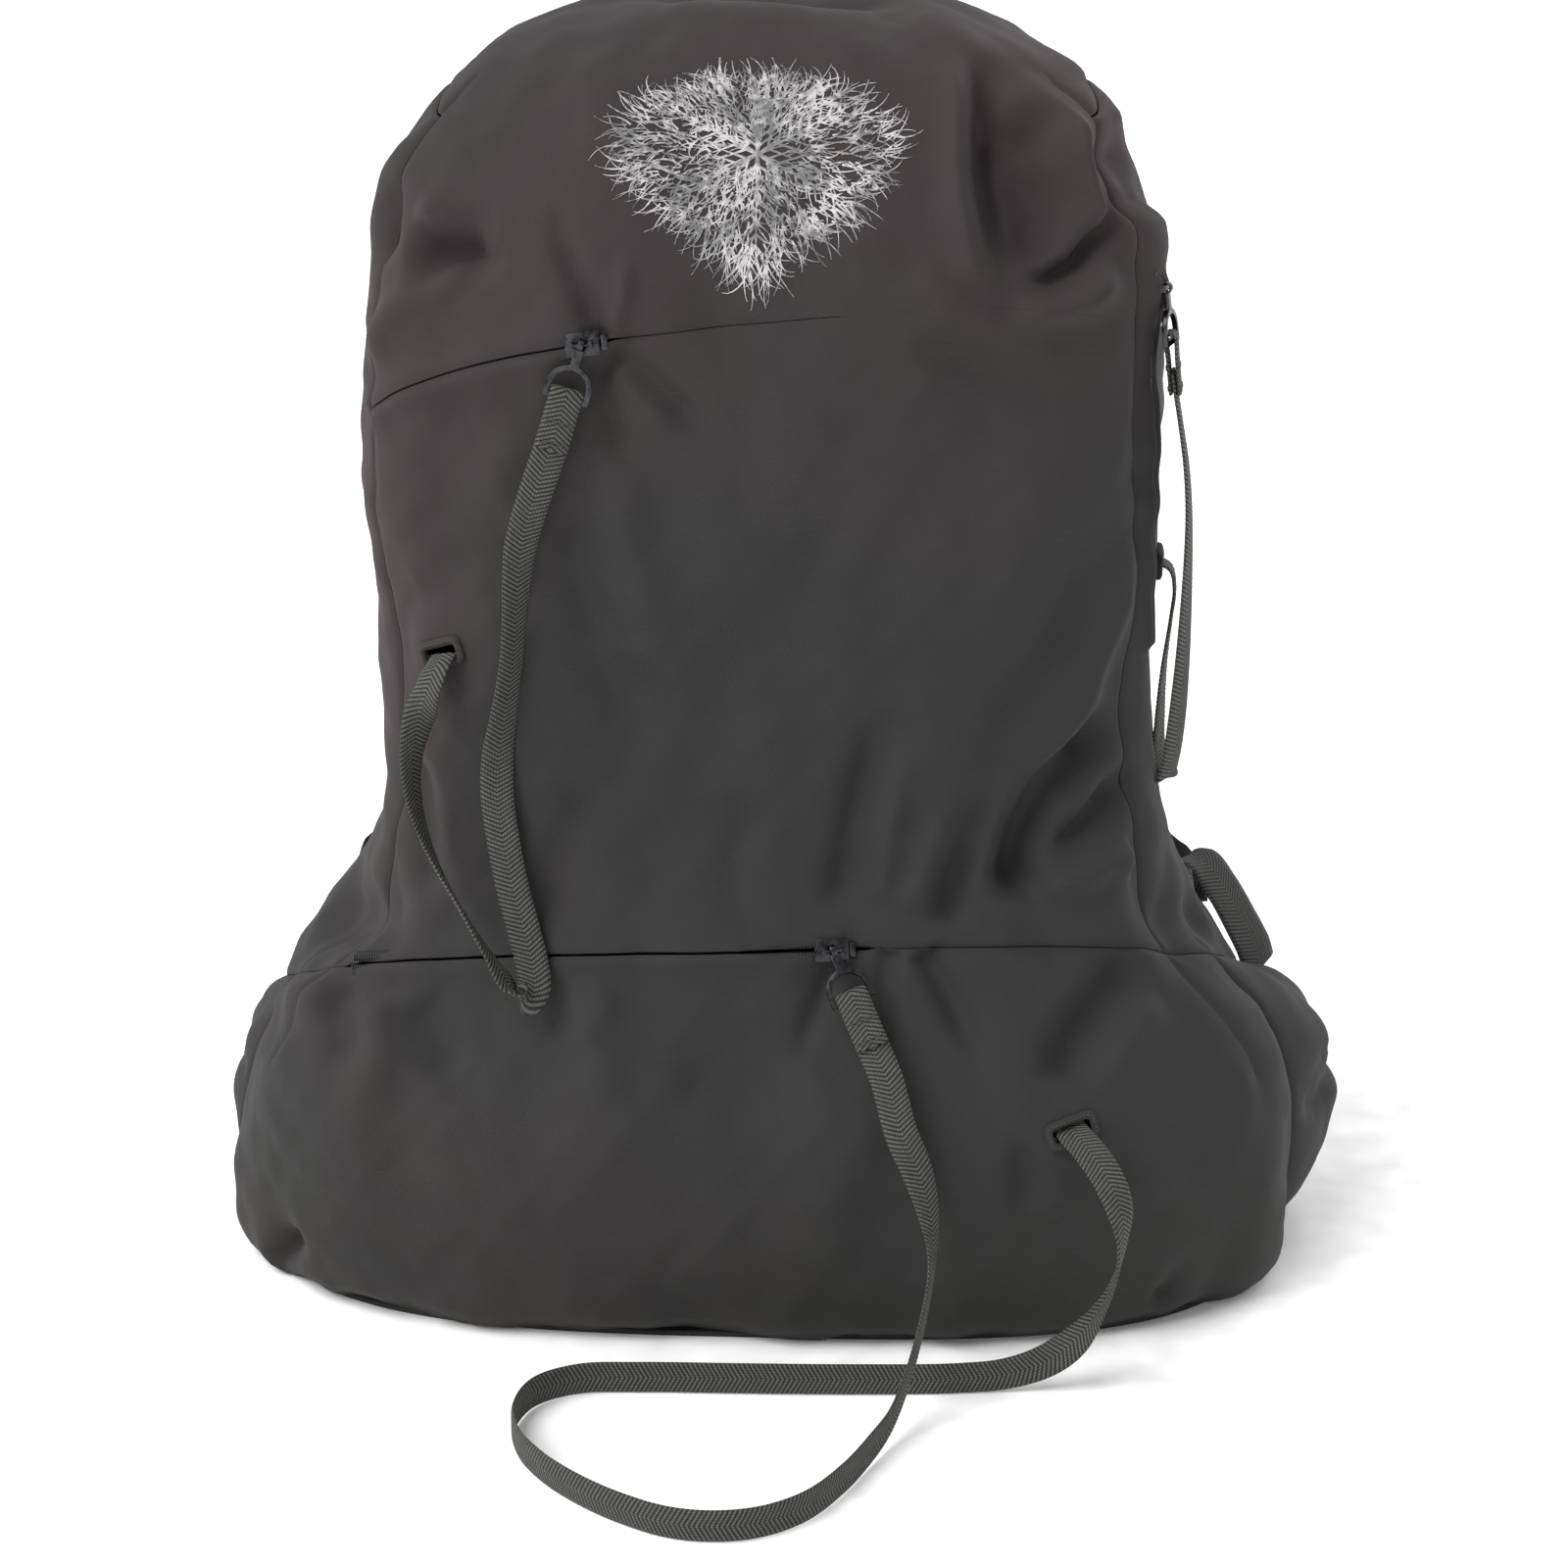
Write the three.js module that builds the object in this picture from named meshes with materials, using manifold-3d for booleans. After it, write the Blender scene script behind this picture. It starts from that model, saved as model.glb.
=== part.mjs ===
// A soft backpack with three long webbing pulls, standing on its base.
// Millimetres, +Z up, the front faces -Y. The origin is on the floor under the middle of the bag.
import * as THREE from "three";
import { mergeVertices } from "three/addons/utils/BufferGeometryUtils.js";
import Module from "manifold-3d";

const wasm = await Module();
wasm.setup();

// ---------------------------------------------------------------- driving dimensions

// The stuffed bag's outline at the heights where it changes: half its width, and how far the
// front and the back stand from the middle plane.
const BASE = { z: 0, half: 188, front: 108, back: 76 };
const HEM = { z: 10, half: 197, front: 117, back: 82 };
const BELLY = { z: 45, half: 202, front: 122, back: 85 };
const POCKET = { z: 90, half: 195, front: 119, back: 85 };
const SEAM = { z: 132, half: 167, front: 98, back: 82 };
const WAIST = { z: 165, half: 150, front: 88, back: 80 };
const RIBS = { z: 205, half: 143, front: 83, back: 80 };
const CHEST = { z: 310, half: 147, front: 81, back: 80 };
const SHOULDER = { z: 385, half: 142, front: 74, back: 79 };
const DOME_RISE = 95; // from the shoulders to the top
const DOME_ROUNDNESS = 2.3; // 2 is an ellipse, more is squarer
const DOME_LEAN = 12; // how far the top lies behind the middle plane
const CORNER_SQUARENESS = 3; // of the bag seen from above
const CAP_HEIGHT = 440; // where the top panel takes over from the side and back panels

// Cloth and padding
const SHELL = 1.6; // panel thickness, cloth and its backing
const SEAM_GAP = 0.8; // between two panels' edges
const FRONT_CORNER = 30; // degrees forward of the sides, where front and side panels meet
const BACK_CORNER = 37.5; // degrees behind the sides, where side and back panels meet
const WING_CORNER = 15; // degrees forward of the sides, where the lower pocket panel ends
const WING_SWELL = 9; // how far the wings stand out from the outline
const WING_SWELL_TOP = 130;
const PAD_THICKNESS = 8;
const PAD_CORNER = 52.5; // degrees behind the sides, the pad's edges
const SHEET_CORNER = 60; // the same for the board behind it
const PAD_BOTTOM = 60;
const PAD_TOP = 410;
const SHEET_BOTTOM = 124; // of the back's board, above the divider
const DIVIDER_HEIGHT = 108;
const DIVIDER_THICKNESS = 1.2;
const DIVIDER_INSET = 5;
const STIFFENER_THICKNESS = 2.5;
const STIFFENER_INSET = 14;
const LAYER_GAP = 0.5; // between a panel and what lies against it

// Zips. Each front zip lies in a plane z = level + slope_x x + slope_y y.
const UPPER_PLANE = { level: 318.5, slopeX: 0.119, slopeY: -0.757 };
const LOWER_PLANE = { level: 106, slopeX: 0.04, slopeY: -0.45 };
const ZIP_CHANNEL = 9.6; // opening between the panels' edges along a zip
const COIL_WIDTH = 2.2; // one side's row of coils
const COIL_HEIGHT = 2.4;
const COIL_SPLIT = 1.2; // between the two rows, the slider's post runs in it
const TAPE_THICKNESS = 0.8;
const SIDE_ZIP_CORNER = 22; // degrees forward of the side
const SIDE_ZIP_TOP = 384;
const SIDE_ZIP_BOTTOM = 246;
const SLIDER_LENGTH = 12;
const SLIDER_WIDTH = 8.4;
const SLIDER_PLATE = 1;
const POST_LENGTH = 2;
const SLIDER_REST = 4; // from the zip's closed end to the slider's middle
const RUNNING_GAP = 0.5;
const BRIDGE_BAR = 1.4; // diameter
const STOP_LENGTH = 2.4;
const ARC_STEP = 4; // degrees between the cross sections of a curved zip

// Pullers and webbing
const WEBBING_WIDTH = 12;
const WEBBING_THICKNESS = 1.5;
const EYE_BORE = 2.8;
const EYE_WALL = 0.9;
const EYE_WIDTH = 2;
const NECK_LENGTH = 7;
const RING_ROD = 1.9;
const RING_DEPTH = 10; // from the neck to the cross bar
const TAB_LENGTH = 18;
const FIT_GAP = 0.3;
const SLOT_RIM = 2.6; // stitched patch round each slot
const PATCH_THICKNESS = 0.7;
const PATCH_LIFT = 1.2; // clears the curve of the panel under the flat patch
const WEBBING_STEP = 9; // between the strips' cross sections

// Carrying gear on the back
const STRAP_WIDTH = 54;
const STRAP_THICKNESS = 11;
const STRAP_SPACING = 68; // from the middle plane to each strap's centre line at the top
const STRAP_REACH = 122; // how far behind the middle plane the straps bow
const STRAP_END = 192; // height of the padded part's lower end
const STRAP_WEBBING = 24;
const BUCKLE_THICKNESS = 4.4;
const BUCKLE_HEIGHT = 26;
const BUCKLE_SLOT = 6;
const BUCKLE_GAP = 3;
const ANCHOR_X = 171; // where the strap's webbing is sewn to the wing
const ANCHOR_Y = 72;
const ANCHOR_Z = 118;
const YOKE_BOTTOM = 413; // the band at the top of the back that the straps are sewn to
const YOKE_TOP = 446;
const YOKE_THICKNESS = 4.5;
const YOKE_CORNER = 45; // degrees behind the sides
const HANDLE_CLEAR = 81; // how far behind the middle plane the handle's near edge starts
const HANDLE_TILT = 20; // degrees that it leans away from the back as it hangs
const HANDLE_WIDTH = 22;
const HANDLE_SPAN = 56;
const HANDLE_DROP = 34;
const HANDLE_TOP = 443;
const HANDLE_THICKNESS = 3;

// ---------------------------------------------------------------- materials

const cloth = new THREE.MeshStandardMaterial({ color: 0x3a3838, roughness: 0.9 });
const tintedCloth = new THREE.MeshStandardMaterial({ color: 0x423a39, roughness: 0.88 });
const spacerMesh = new THREE.MeshStandardMaterial({ color: 0x242424, roughness: 0.95 });
const foam = new THREE.MeshStandardMaterial({ color: 0x55575a, roughness: 1 });
const board = new THREE.MeshStandardMaterial({ color: 0x2b2b2c, roughness: 0.6 });
const webbing = new THREE.MeshStandardMaterial({ color: 0x3c3c39, roughness: 0.85 });
const tape = new THREE.MeshStandardMaterial({ color: 0x1c1c1d, roughness: 0.8 });
const metal = new THREE.MeshStandardMaterial({ color: 0x2a2a2d, roughness: 0.3, metalness: 0.9 });
const plastic = new THREE.MeshStandardMaterial({ color: 0x191919, roughness: 0.5 });

const bag = new THREE.Group();
const DEG = Math.PI / 180;
const V = (x, y, z) => new THREE.Vector3(x, y, z);

// ---------------------------------------------------------------- solids

// A three.js geometry as a solid, for joining and cutting.
function solid(geometry, matrix) {
  const plain = geometry.index ? geometry.toNonIndexed() : geometry.clone();
  for (const name of Object.keys(plain.attributes)) {
    if (name !== "position") plain.deleteAttribute(name);
  }
  if (matrix) plain.applyMatrix4(matrix);
  const merged = mergeVertices(plain, 1e-4);
  const corners = merged.index.array;
  const kept = [];
  for (let i = 0; i < corners.length; i += 3) {
    const [a, b, c] = [corners[i], corners[i + 1], corners[i + 2]];
    if (a !== b && b !== c && c !== a) kept.push(a, b, c);
  }
  return new wasm.Manifold(new wasm.Mesh({
    numProp: 3,
    vertProperties: new Float32Array(merged.attributes.position.array),
    triVerts: new Uint32Array(kept),
  }));
}

function addPiece(name, shape, material) {
  const made = shape.getMesh();
  const points = new Float32Array(made.numVert * 3);
  for (let i = 0; i < made.numVert; i++) {
    points.set(made.vertProperties.subarray(i * made.numProp, i * made.numProp + 3), i * 3);
  }
  const geometry = new THREE.BufferGeometry();
  geometry.setAttribute("position", new THREE.BufferAttribute(points, 3));
  geometry.setIndex(new THREE.BufferAttribute(made.triVerts, 1));
  geometry.computeVertexNormals();
  const piece = new THREE.Mesh(geometry, material);
  piece.name = name;
  bag.add(piece);
}

const join = (...shapes) => shapes.reduce((sum, shape) => sum.add(shape));

// A closed solid from rings of points: each ring is one cross section, going the same way round.
function skinRings(rings) {
  const corners = [];
  const push = (...points) => points.forEach((p) => corners.push(p.x, p.y, p.z));
  for (let r = 0; r + 1 < rings.length; r++) {
    const [low, high] = [rings[r], rings[r + 1]];
    for (let i = 0; i < low.length; i++) {
      const j = (i + 1) % low.length;
      push(low[i], low[j], high[j]);
      push(low[i], high[j], high[i]);
    }
  }
  const [first, last] = [rings[0], rings[rings.length - 1]];
  for (let i = 1; i + 1 < first.length; i++) {
    push(first[0], first[i + 1], first[i]);
    push(last[0], last[i], last[i + 1]);
  }
  const geometry = new THREE.BufferGeometry();
  geometry.setAttribute("position", new THREE.Float32BufferAttribute(corners, 3));
  return geometry;
}

// A slab between two grids of points with the same rows and columns. With `round` the last
// column joins the first. A row whose points coincide closes the slab at a pole.
function slab(outer, inner, round) {
  const corners = [];
  const push = (...points) => points.forEach((p) => corners.push(p.x, p.y, p.z));
  const quad = (a, b, c, d) => {
    push(a, b, c);
    push(a, c, d);
  };
  const rows = outer.length;
  const columns = outer[0].length;
  for (let r = 0; r + 1 < rows; r++) {
    for (let c = 0; c < columns - (round ? 0 : 1); c++) {
      const n = (c + 1) % columns;
      quad(outer[r][c], outer[r][n], outer[r + 1][n], outer[r + 1][c]);
      quad(inner[r][c], inner[r + 1][c], inner[r + 1][n], inner[r][n]);
    }
    if (!round) {
      const e = columns - 1;
      quad(outer[r][0], outer[r + 1][0], inner[r + 1][0], inner[r][0]);
      quad(outer[r][e], inner[r][e], inner[r + 1][e], outer[r + 1][e]);
    }
  }
  for (let c = 0; c < columns - (round ? 0 : 1); c++) {
    const n = (c + 1) % columns;
    const t = rows - 1;
    quad(outer[0][c], inner[0][c], inner[0][n], outer[0][n]);
    const pole = outer[t][0].distanceTo(outer[t][n]) < 1e-3;
    if (!pole) quad(outer[t][c], outer[t][n], inner[t][n], inner[t][c]);
  }
  const geometry = new THREE.BufferGeometry();
  geometry.setAttribute("position", new THREE.Float32BufferAttribute(corners, 3));
  return geometry;
}

// A box with its centre and its three edge directions given.
function boxSolid(centre, along, across, out, sizes) {
  const place = new THREE.Matrix4().makeBasis(along, across, out).setPosition(centre);
  return solid(new THREE.BoxGeometry(...sizes), place);
}

// ---------------------------------------------------------------- the bag's surface

const STATIONS = [BASE, HEM, BELLY, POCKET, SEAM, WAIST, RIBS, CHEST, SHOULDER];
const BAG_HEIGHT = SHOULDER.z + DOME_RISE;

// One value of the outline at height z, on a smooth curve through the stations.
function outlineAt(z, key) {
  let k = 0;
  while (k < STATIONS.length - 2 && z > STATIONS[k + 1].z) k++;
  const slope = (i) => {
    const a = STATIONS[Math.max(i - 1, 0)];
    const b = STATIONS[Math.min(i + 1, STATIONS.length - 1)];
    return (b[key] - a[key]) / (b.z - a.z);
  };
  const step = STATIONS[k + 1].z - STATIONS[k].z;
  const t = (z - STATIONS[k].z) / step;
  return (2 * t ** 3 - 3 * t ** 2 + 1) * STATIONS[k][key]
    + (t ** 3 - 2 * t ** 2 + t) * step * slope(k)
    + (3 * t ** 2 - 2 * t ** 3) * STATIONS[k + 1][key]
    + (t ** 3 - t ** 2) * step * slope(k + 1);
}

// Above the shoulders the outline shrinks to nothing at the top.
function domeAt(z) {
  const climb = Math.min(Math.max((z - SHOULDER.z) / DOME_RISE, 0), 1);
  return { shrink: (1 - climb ** DOME_ROUNDNESS) ** (1 / DOME_ROUNDNESS), lean: DOME_LEAN * climb };
}

// The point of the outer surface at height z in the direction phi, degrees from +X towards +Y.
function skin(phi, z) {
  const { shrink, lean } = domeAt(z);
  const low = Math.min(z, SHOULDER.z);
  const c = Math.cos(phi * DEG);
  const s = Math.sin(phi * DEG);
  const n = CORNER_SQUARENESS;
  const reach = (Math.abs(c) ** n + Math.abs(s) ** n) ** (-1 / n) * shrink;
  const depth = outlineAt(low, s < 0 ? "front" : "back");
  return V(outlineAt(low, "half") * reach * c, depth * reach * s + lean, z);
}

function skinNormal(phi, z) {
  const h = Math.min(z + 1, BAG_HEIGHT - 2);
  const round = skin(phi + 1, h).sub(skin(phi - 1, h));
  const up = skin(phi, h + 1).sub(skin(phi, h - 1));
  return round.cross(up).normalize();
}

// A point on the surface moved outwards by `out`.
const skinOffset = (phi, z, out) => skin(phi, z).addScaledVector(skinNormal(phi, z), out);

function panel(phiFrom, phiTo, columns, heights, outer, inner) {
  const grid = (out) => heights.map((z) => Array.from({ length: columns + 1 }, (_, c) => (
    skinOffset(phiFrom + (phiTo - phiFrom) * c / columns, z, out)
  )));
  return slab(grid(outer), grid(inner), false);
}

const onPlane = (plane, x, y) => plane.level + plane.slopeX * x + plane.slopeY * y;

// The point of the surface in direction phi where it meets a zip's plane.
function skinOnPlane(phi, plane) {
  let z = plane.level;
  for (let i = 0; i < 60; i++) {
    const p = skin(phi, z);
    z += (onPlane(plane, p.x, p.y) - z) * 0.5;
  }
  return skin(phi, z);
}

const planeNormal = (plane) => V(-plane.slopeX, -plane.slopeY, 1).normalize();

// ---------------------------------------------------------------- zips

// A path is a function of the distance s from the closed end, giving the place and the three
// directions: along (towards the closed end), across and outwards from the bag.
function arcPath(plane, phiClosed, phiMiddle, phiOpen) {
  const [a, b, c] = [phiClosed, phiMiddle, phiOpen].map((phi) => skinOnPlane(phi, plane));
  const ab = b.clone().sub(a);
  const ac = c.clone().sub(a);
  const cross = ab.clone().cross(ac);
  const centre = a.clone().add(
    cross.clone().cross(ab).multiplyScalar(ac.lengthSq())
      .add(ac.clone().cross(cross).multiplyScalar(ab.lengthSq()))
      .divideScalar(2 * cross.lengthSq()),
  );
  const radius = a.distanceTo(centre);
  const sweep = a.clone().sub(centre).angleTo(c.clone().sub(centre));
  const axis = cross.clone().normalize();
  const along = axis.clone().cross(a.clone().sub(centre)).normalize().negate();
  const normal = skinNormal(phiClosed, a.z);
  const out = normal.addScaledVector(along, -normal.dot(along)).normalize();
  const at = (s) => {
    const turned = (v) => v.clone().applyAxisAngle(axis, s / radius);
    const frame = { along: turned(along), out: turned(out) };
    frame.across = frame.out.clone().cross(frame.along);
    frame.place = turned(a.clone().sub(centre)).add(centre);
    return frame;
  };
  return { at, length: radius * sweep, steps: Math.ceil(sweep / DEG / ARC_STEP) };
}

function straightPath(top, bottom, out) {
  const along = top.clone().sub(bottom).normalize();
  const flat = out.clone().addScaledVector(along, -out.dot(along)).normalize();
  const at = (s) => ({
    place: top.clone().addScaledVector(along, -s),
    along,
    across: flat.clone().cross(along),
    out: flat,
  });
  return { at, length: top.distanceTo(bottom), steps: 1 };
}

// A section, given as [across, out] points, swept along a path.
function alongPath(path, from, to, section) {
  const rings = [];
  for (let i = 0; i <= path.steps; i++) {
    const frame = path.at(to + (from - to) * i / path.steps);
    rings.push(section.map(([x, y]) => (
      frame.place.clone().addScaledVector(frame.across, x).addScaledVector(frame.out, y)
    )));
  }
  return solid(skinRings(rings));
}

const rectangle = (x0, x1, y0, y1) => [[x0, y0], [x1, y0], [x1, y1], [x0, y1]];

const CHANNEL_DEPTH = 24; // the cut reaches this far through the shell on both sides

function channel(path, past) {
  const half = ZIP_CHANNEL / 2;
  return alongPath(path, -past, path.length + past,
    rectangle(-half, half, -CHANNEL_DEPTH, CHANNEL_DEPTH));
}

// One side of a zip: a tape with its row of coils along the inner edge.
function stringer(path, side) {
  const inner = COIL_SPLIT / 2;
  const coil = inner + COIL_WIDTH;
  const outer = ZIP_CHANNEL / 2 - FIT_GAP;
  const half = TAPE_THICKNESS / 2;
  const section = [
    [inner, -COIL_HEIGHT / 2], [coil, -COIL_HEIGHT / 2], [coil, -half], [outer, -half],
    [outer, half], [coil, half], [coil, COIL_HEIGHT / 2], [inner, COIL_HEIGHT / 2],
  ];
  const turned = side > 0 ? section : section.map(([x, y]) => [-x, y]).reverse();
  return alongPath(path, 0, path.length, turned);
}

// The metal slider: two plates round the coils, a post between them and a bridge on top, which
// runs along the zip or across it.
function slider({ path, bridge }) {
  const frame = path.at(SLIDER_REST);
  const lift = COIL_HEIGHT / 2 + RUNNING_GAP;
  const at = (x, y, z) => frame.place.clone().addScaledVector(frame.along, x)
    .addScaledVector(frame.across, y).addScaledVector(frame.out, z);
  const box = (place, sizes) => boxSolid(place, frame.along, frame.across, frame.out, sizes);
  const hinge = bridgeCentre(path);
  const run = frame[bridge];
  const side = frame.out.clone().cross(run);
  const legHeight = BRIDGE_RISE + BRIDGE_BAR / 2 + FIT_GAP;
  const legs = [-1, 1].map((end) => boxSolid(
    hinge.clone().addScaledVector(run, end * (BRIDGE_SPAN + BRIDGE_LEG) / 2)
      .addScaledVector(frame.out, BRIDGE_BAR / 2 - legHeight / 2),
    run, side, frame.out, [BRIDGE_LEG, 2.4, legHeight],
  ));
  const bar = solid(
    new THREE.CylinderGeometry(BRIDGE_BAR / 2, BRIDGE_BAR / 2, BRIDGE_SPAN + BRIDGE_LEG, 10),
    new THREE.Matrix4().makeBasis(side, run, frame.out.clone().negate()).setPosition(hinge),
  );
  const plate = [SLIDER_LENGTH, SLIDER_WIDTH, SLIDER_PLATE];
  const post = [POST_LENGTH, COIL_SPLIT - 2 * FIT_GAP, 2 * lift + FIT_GAP];
  return join(
    box(at(0, 0, lift + SLIDER_PLATE / 2), plate),
    box(at(0, 0, -lift - SLIDER_PLATE / 2), plate),
    box(at((SLIDER_LENGTH - POST_LENGTH) / 2, 0, 0), post),
    ...legs, bar,
  );
}

const EYE_OUTER = EYE_BORE / 2 + EYE_WALL;
const BRIDGE_RISE = EYE_OUTER + FIT_GAP; // from the slider's plate to the hinge
const BRIDGE_SPAN = 5.6; // between the bridge's legs
const BRIDGE_LEG = 1.2;

function bridgeCentre(path) {
  const frame = path.at(SLIDER_REST);
  const height = COIL_HEIGHT / 2 + RUNNING_GAP + SLIDER_PLATE + BRIDGE_RISE;
  return frame.place.clone().addScaledVector(frame.out, height);
}

// The puller and its webbing tab hang from the bridge in the direction `down`. Their frame:
// x along the hinge, y outwards from the bag, z against the hanging direction.
function pullerFrame({ path, bridge, down }) {
  const z = down.clone().normalize().negate();
  const frame = path.at(SLIDER_REST);
  const x = frame[bridge].clone().addScaledVector(z, -frame[bridge].dot(z)).normalize();
  if (z.clone().cross(x).dot(frame.out) < 0) x.negate();
  const y = z.clone().cross(x);
  const place = new THREE.Matrix4().makeBasis(x, y, z).setPosition(bridgeCentre(path));
  return { x, y, z, place };
}

const RING_INNER_HALF = WEBBING_WIDTH / 2 + FIT_GAP;
const RING_TOP = EYE_OUTER + NECK_LENGTH; // from the hinge to the top of the ring's opening
const BAR_DROP = RING_TOP + RING_DEPTH; // from the hinge to the cross bar's centre

// A matrix that puts a shape's own x, y and z along the given directions, inside a frame.
function within(frame, [x, y, z], directions) {
  const local = new THREE.Matrix4();
  if (directions) local.makeBasis(...directions);
  return frame.place.clone().multiply(local.setPosition(x, y, z));
}

const X = V(1, 0, 0);
const Y = V(0, 1, 0);
const Z = V(0, 0, 1);
const PROFILE_FACES_X = [Y, Z, X]; // a profile drawn in the y-z plane, extruded along x
const PROFILE_FACES_Y = [X, Z, V(0, -1, 0)]; // drawn in the x-z plane, extruded towards -y

const extruded = (shape, depth, curveSegments) => (
  new THREE.ExtrudeGeometry(shape, { depth, bevelEnabled: false, curveSegments })
);

// An eye round the bridge, a neck, and a D-shaped ring whose cross bar carries the webbing.
function puller(frame) {
  const eyeShape = new THREE.Shape().absarc(0, 0, EYE_OUTER, 0, 2 * Math.PI);
  eyeShape.holes.push(new THREE.Path().absarc(0, 0, EYE_BORE / 2, 0, 2 * Math.PI, true));
  const eye = solid(
    extruded(eyeShape, EYE_WIDTH, 8),
    within(frame, [-EYE_WIDTH / 2, 0, 0], PROFILE_FACES_X),
  );
  const neck = solid(
    new THREE.BoxGeometry(3.4, RING_ROD, NECK_LENGTH),
    within(frame, [0, 0, -EYE_OUTER - NECK_LENGTH / 2 + 0.4]),
  );
  const outer = RING_INNER_HALF + RING_ROD;
  const arch = -RING_TOP - outer + RING_ROD; // height of the arch's centre
  const ringShape = new THREE.Shape();
  ringShape.moveTo(-outer, -BAR_DROP - RING_ROD / 2);
  ringShape.lineTo(outer, -BAR_DROP - RING_ROD / 2);
  ringShape.lineTo(outer, arch);
  ringShape.absarc(0, arch, outer, 0, Math.PI);
  const hole = new THREE.Path();
  hole.moveTo(-RING_INNER_HALF, -BAR_DROP + RING_ROD / 2);
  hole.lineTo(-RING_INNER_HALF, arch);
  hole.absarc(0, arch, RING_INNER_HALF, Math.PI, 0, true);
  hole.lineTo(RING_INNER_HALF, -BAR_DROP + RING_ROD / 2);
  ringShape.holes.push(hole);
  const ring = solid(
    extruded(ringShape, RING_ROD, 7),
    within(frame, [0, RING_ROD / 2, 0], PROFILE_FACES_Y),
  );
  return join(eye, neck, ring);
}

const TAB_BORE = RING_ROD / 2 * Math.SQRT2 + FIT_GAP;

// The end of the webbing, folded round the cross bar and stitched back on itself.
function tab(frame) {
  const outer = TAB_BORE + WEBBING_THICKNESS;
  const shape = new THREE.Shape();
  shape.moveTo(-WEBBING_THICKNESS, -TAB_LENGTH);
  shape.lineTo(WEBBING_THICKNESS, -TAB_LENGTH);
  shape.absarc(0, 0, outer, -0.6, Math.PI + 0.6);
  shape.holes.push(new THREE.Path().absarc(0, 0, TAB_BORE, 0, 2 * Math.PI, true));
  return solid(
    extruded(shape, WEBBING_WIDTH, 6),
    within(frame, [-WEBBING_WIDTH / 2, 0, -BAR_DROP], PROFILE_FACES_X),
  );
}

// ---------------------------------------------------------------- webbing

// A flat strip along a route of [x, y, z, wx, wy, wz]: a point and the direction of its width.
function webbingStrip(route, width, thickness, step) {
  const curve = (points) => new THREE.CatmullRomCurve3(points, false, "centripetal");
  const centre = curve(route.map((p) => V(p[0], p[1], p[2])));
  const widths = curve(route.map((p) => V(p[3], p[4], p[5])));
  const count = Math.ceil(centre.getLength() / step);
  const rings = [];
  for (let i = 0; i <= count; i++) {
    const t = centre.getUtoTmapping(i / count);
    const place = centre.getPoint(t);
    const tangent = centre.getTangent(t);
    const across = widths.getPoint(t);
    across.addScaledVector(tangent, -across.dot(tangent)).normalize().multiplyScalar(width / 2);
    const face = tangent.clone().cross(across).normalize().multiplyScalar(thickness / 2);
    const corner = (a, b) => place.clone().addScaledVector(across, a).addScaledVector(face, b);
    rings.push([corner(-1, -1), corner(1, -1), corner(1, 1), corner(-1, 1)]);
  }
  return solid(skinRings(rings));
}

// ---------------------------------------------------------------- zips and what hangs on them

const ZIP_END_MARGIN = 6;
const upperPath = arcPath(UPPER_PLANE, -112, -134, -151);
const lowerPath = arcPath(LOWER_PLANE, -78.5, -111, -144);
const sideTop = skin(-SIDE_ZIP_CORNER, SIDE_ZIP_TOP);
const sideBottom = skin(-SIDE_ZIP_CORNER, SIDE_ZIP_BOTTOM);
const sidePath = straightPath(sideTop, sideBottom, skinNormal(-SIDE_ZIP_CORNER, SIDE_ZIP_TOP));

const ZIPS = [
  { name: "upper", path: upperPath, bridge: "along", down: V(-0.3, -0.1, -1) },
  { name: "lower", path: lowerPath, bridge: "along", down: V(0.42, -0.52, -0.8) },
  { name: "side", path: sidePath, bridge: "across", down: V(0.12, -0.05, -1) },
];

for (const zip of ZIPS) {
  zip.frame = pullerFrame(zip);
  addPiece(zip.name + "_zip_stringer_top", stringer(zip.path, 1), tape);
  addPiece(zip.name + "_zip_stringer_bottom", stringer(zip.path, -1), tape);
  addPiece(zip.name + "_zip_slider", slider(zip), metal);
  addPiece(zip.name + "_zip_puller", puller(zip.frame), metal);
  addPiece(zip.name + "_pull_tab", tab(zip.frame), webbing);
}

// ---------------------------------------------------------------- panels

const PANEL_STEP = 7.5; // degrees
// Every panel has its rows at these heights, so that neighbours' edges run side by side.
const ROWS = [
  0.4, 4, 12, 28, 48, 70, 90, 108, 124, 140, 160, 185, 215, 250, 290, 330, 360, 385, 406, 424,
];

const columnsFor = (from, to) => Math.max(2, Math.round(Math.abs(to - from) / PANEL_STEP));
const halfGap = (phi) => SEAM_GAP / 2 / skin(phi, CHEST.z).length() / DEG;

// A panel between two directions and two heights, with half a seam's gap left at its sides.
function clothPanel(phiFrom, phiTo, heights, outer = 0, inner = -SHELL) {
  const from = phiFrom + halfGap(phiFrom);
  const to = phiTo - halfGap(phiTo);
  return solid(panel(from, to, columnsFor(from, to), heights, outer, inner));
}

const rowsFrom = (low, high) => [low, ...ROWS.filter((z) => z > low + 2 && z < high - 2), high];

// A big block on one side of a zip's plane, for cutting a panel along it.
function planeBlock(plane, side) {
  const up = planeNormal(plane);
  const size = 2 * BAG_HEIGHT;
  const across = V(1, 0, 0).addScaledVector(up, -up.x).normalize();
  const centre = V(0, 0, plane.level).addScaledVector(up, side * (size / 2 + SEAM_GAP / 2));
  return boxSolid(centre, across, up.clone().cross(across), up, [size, size, size]);
}

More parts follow.
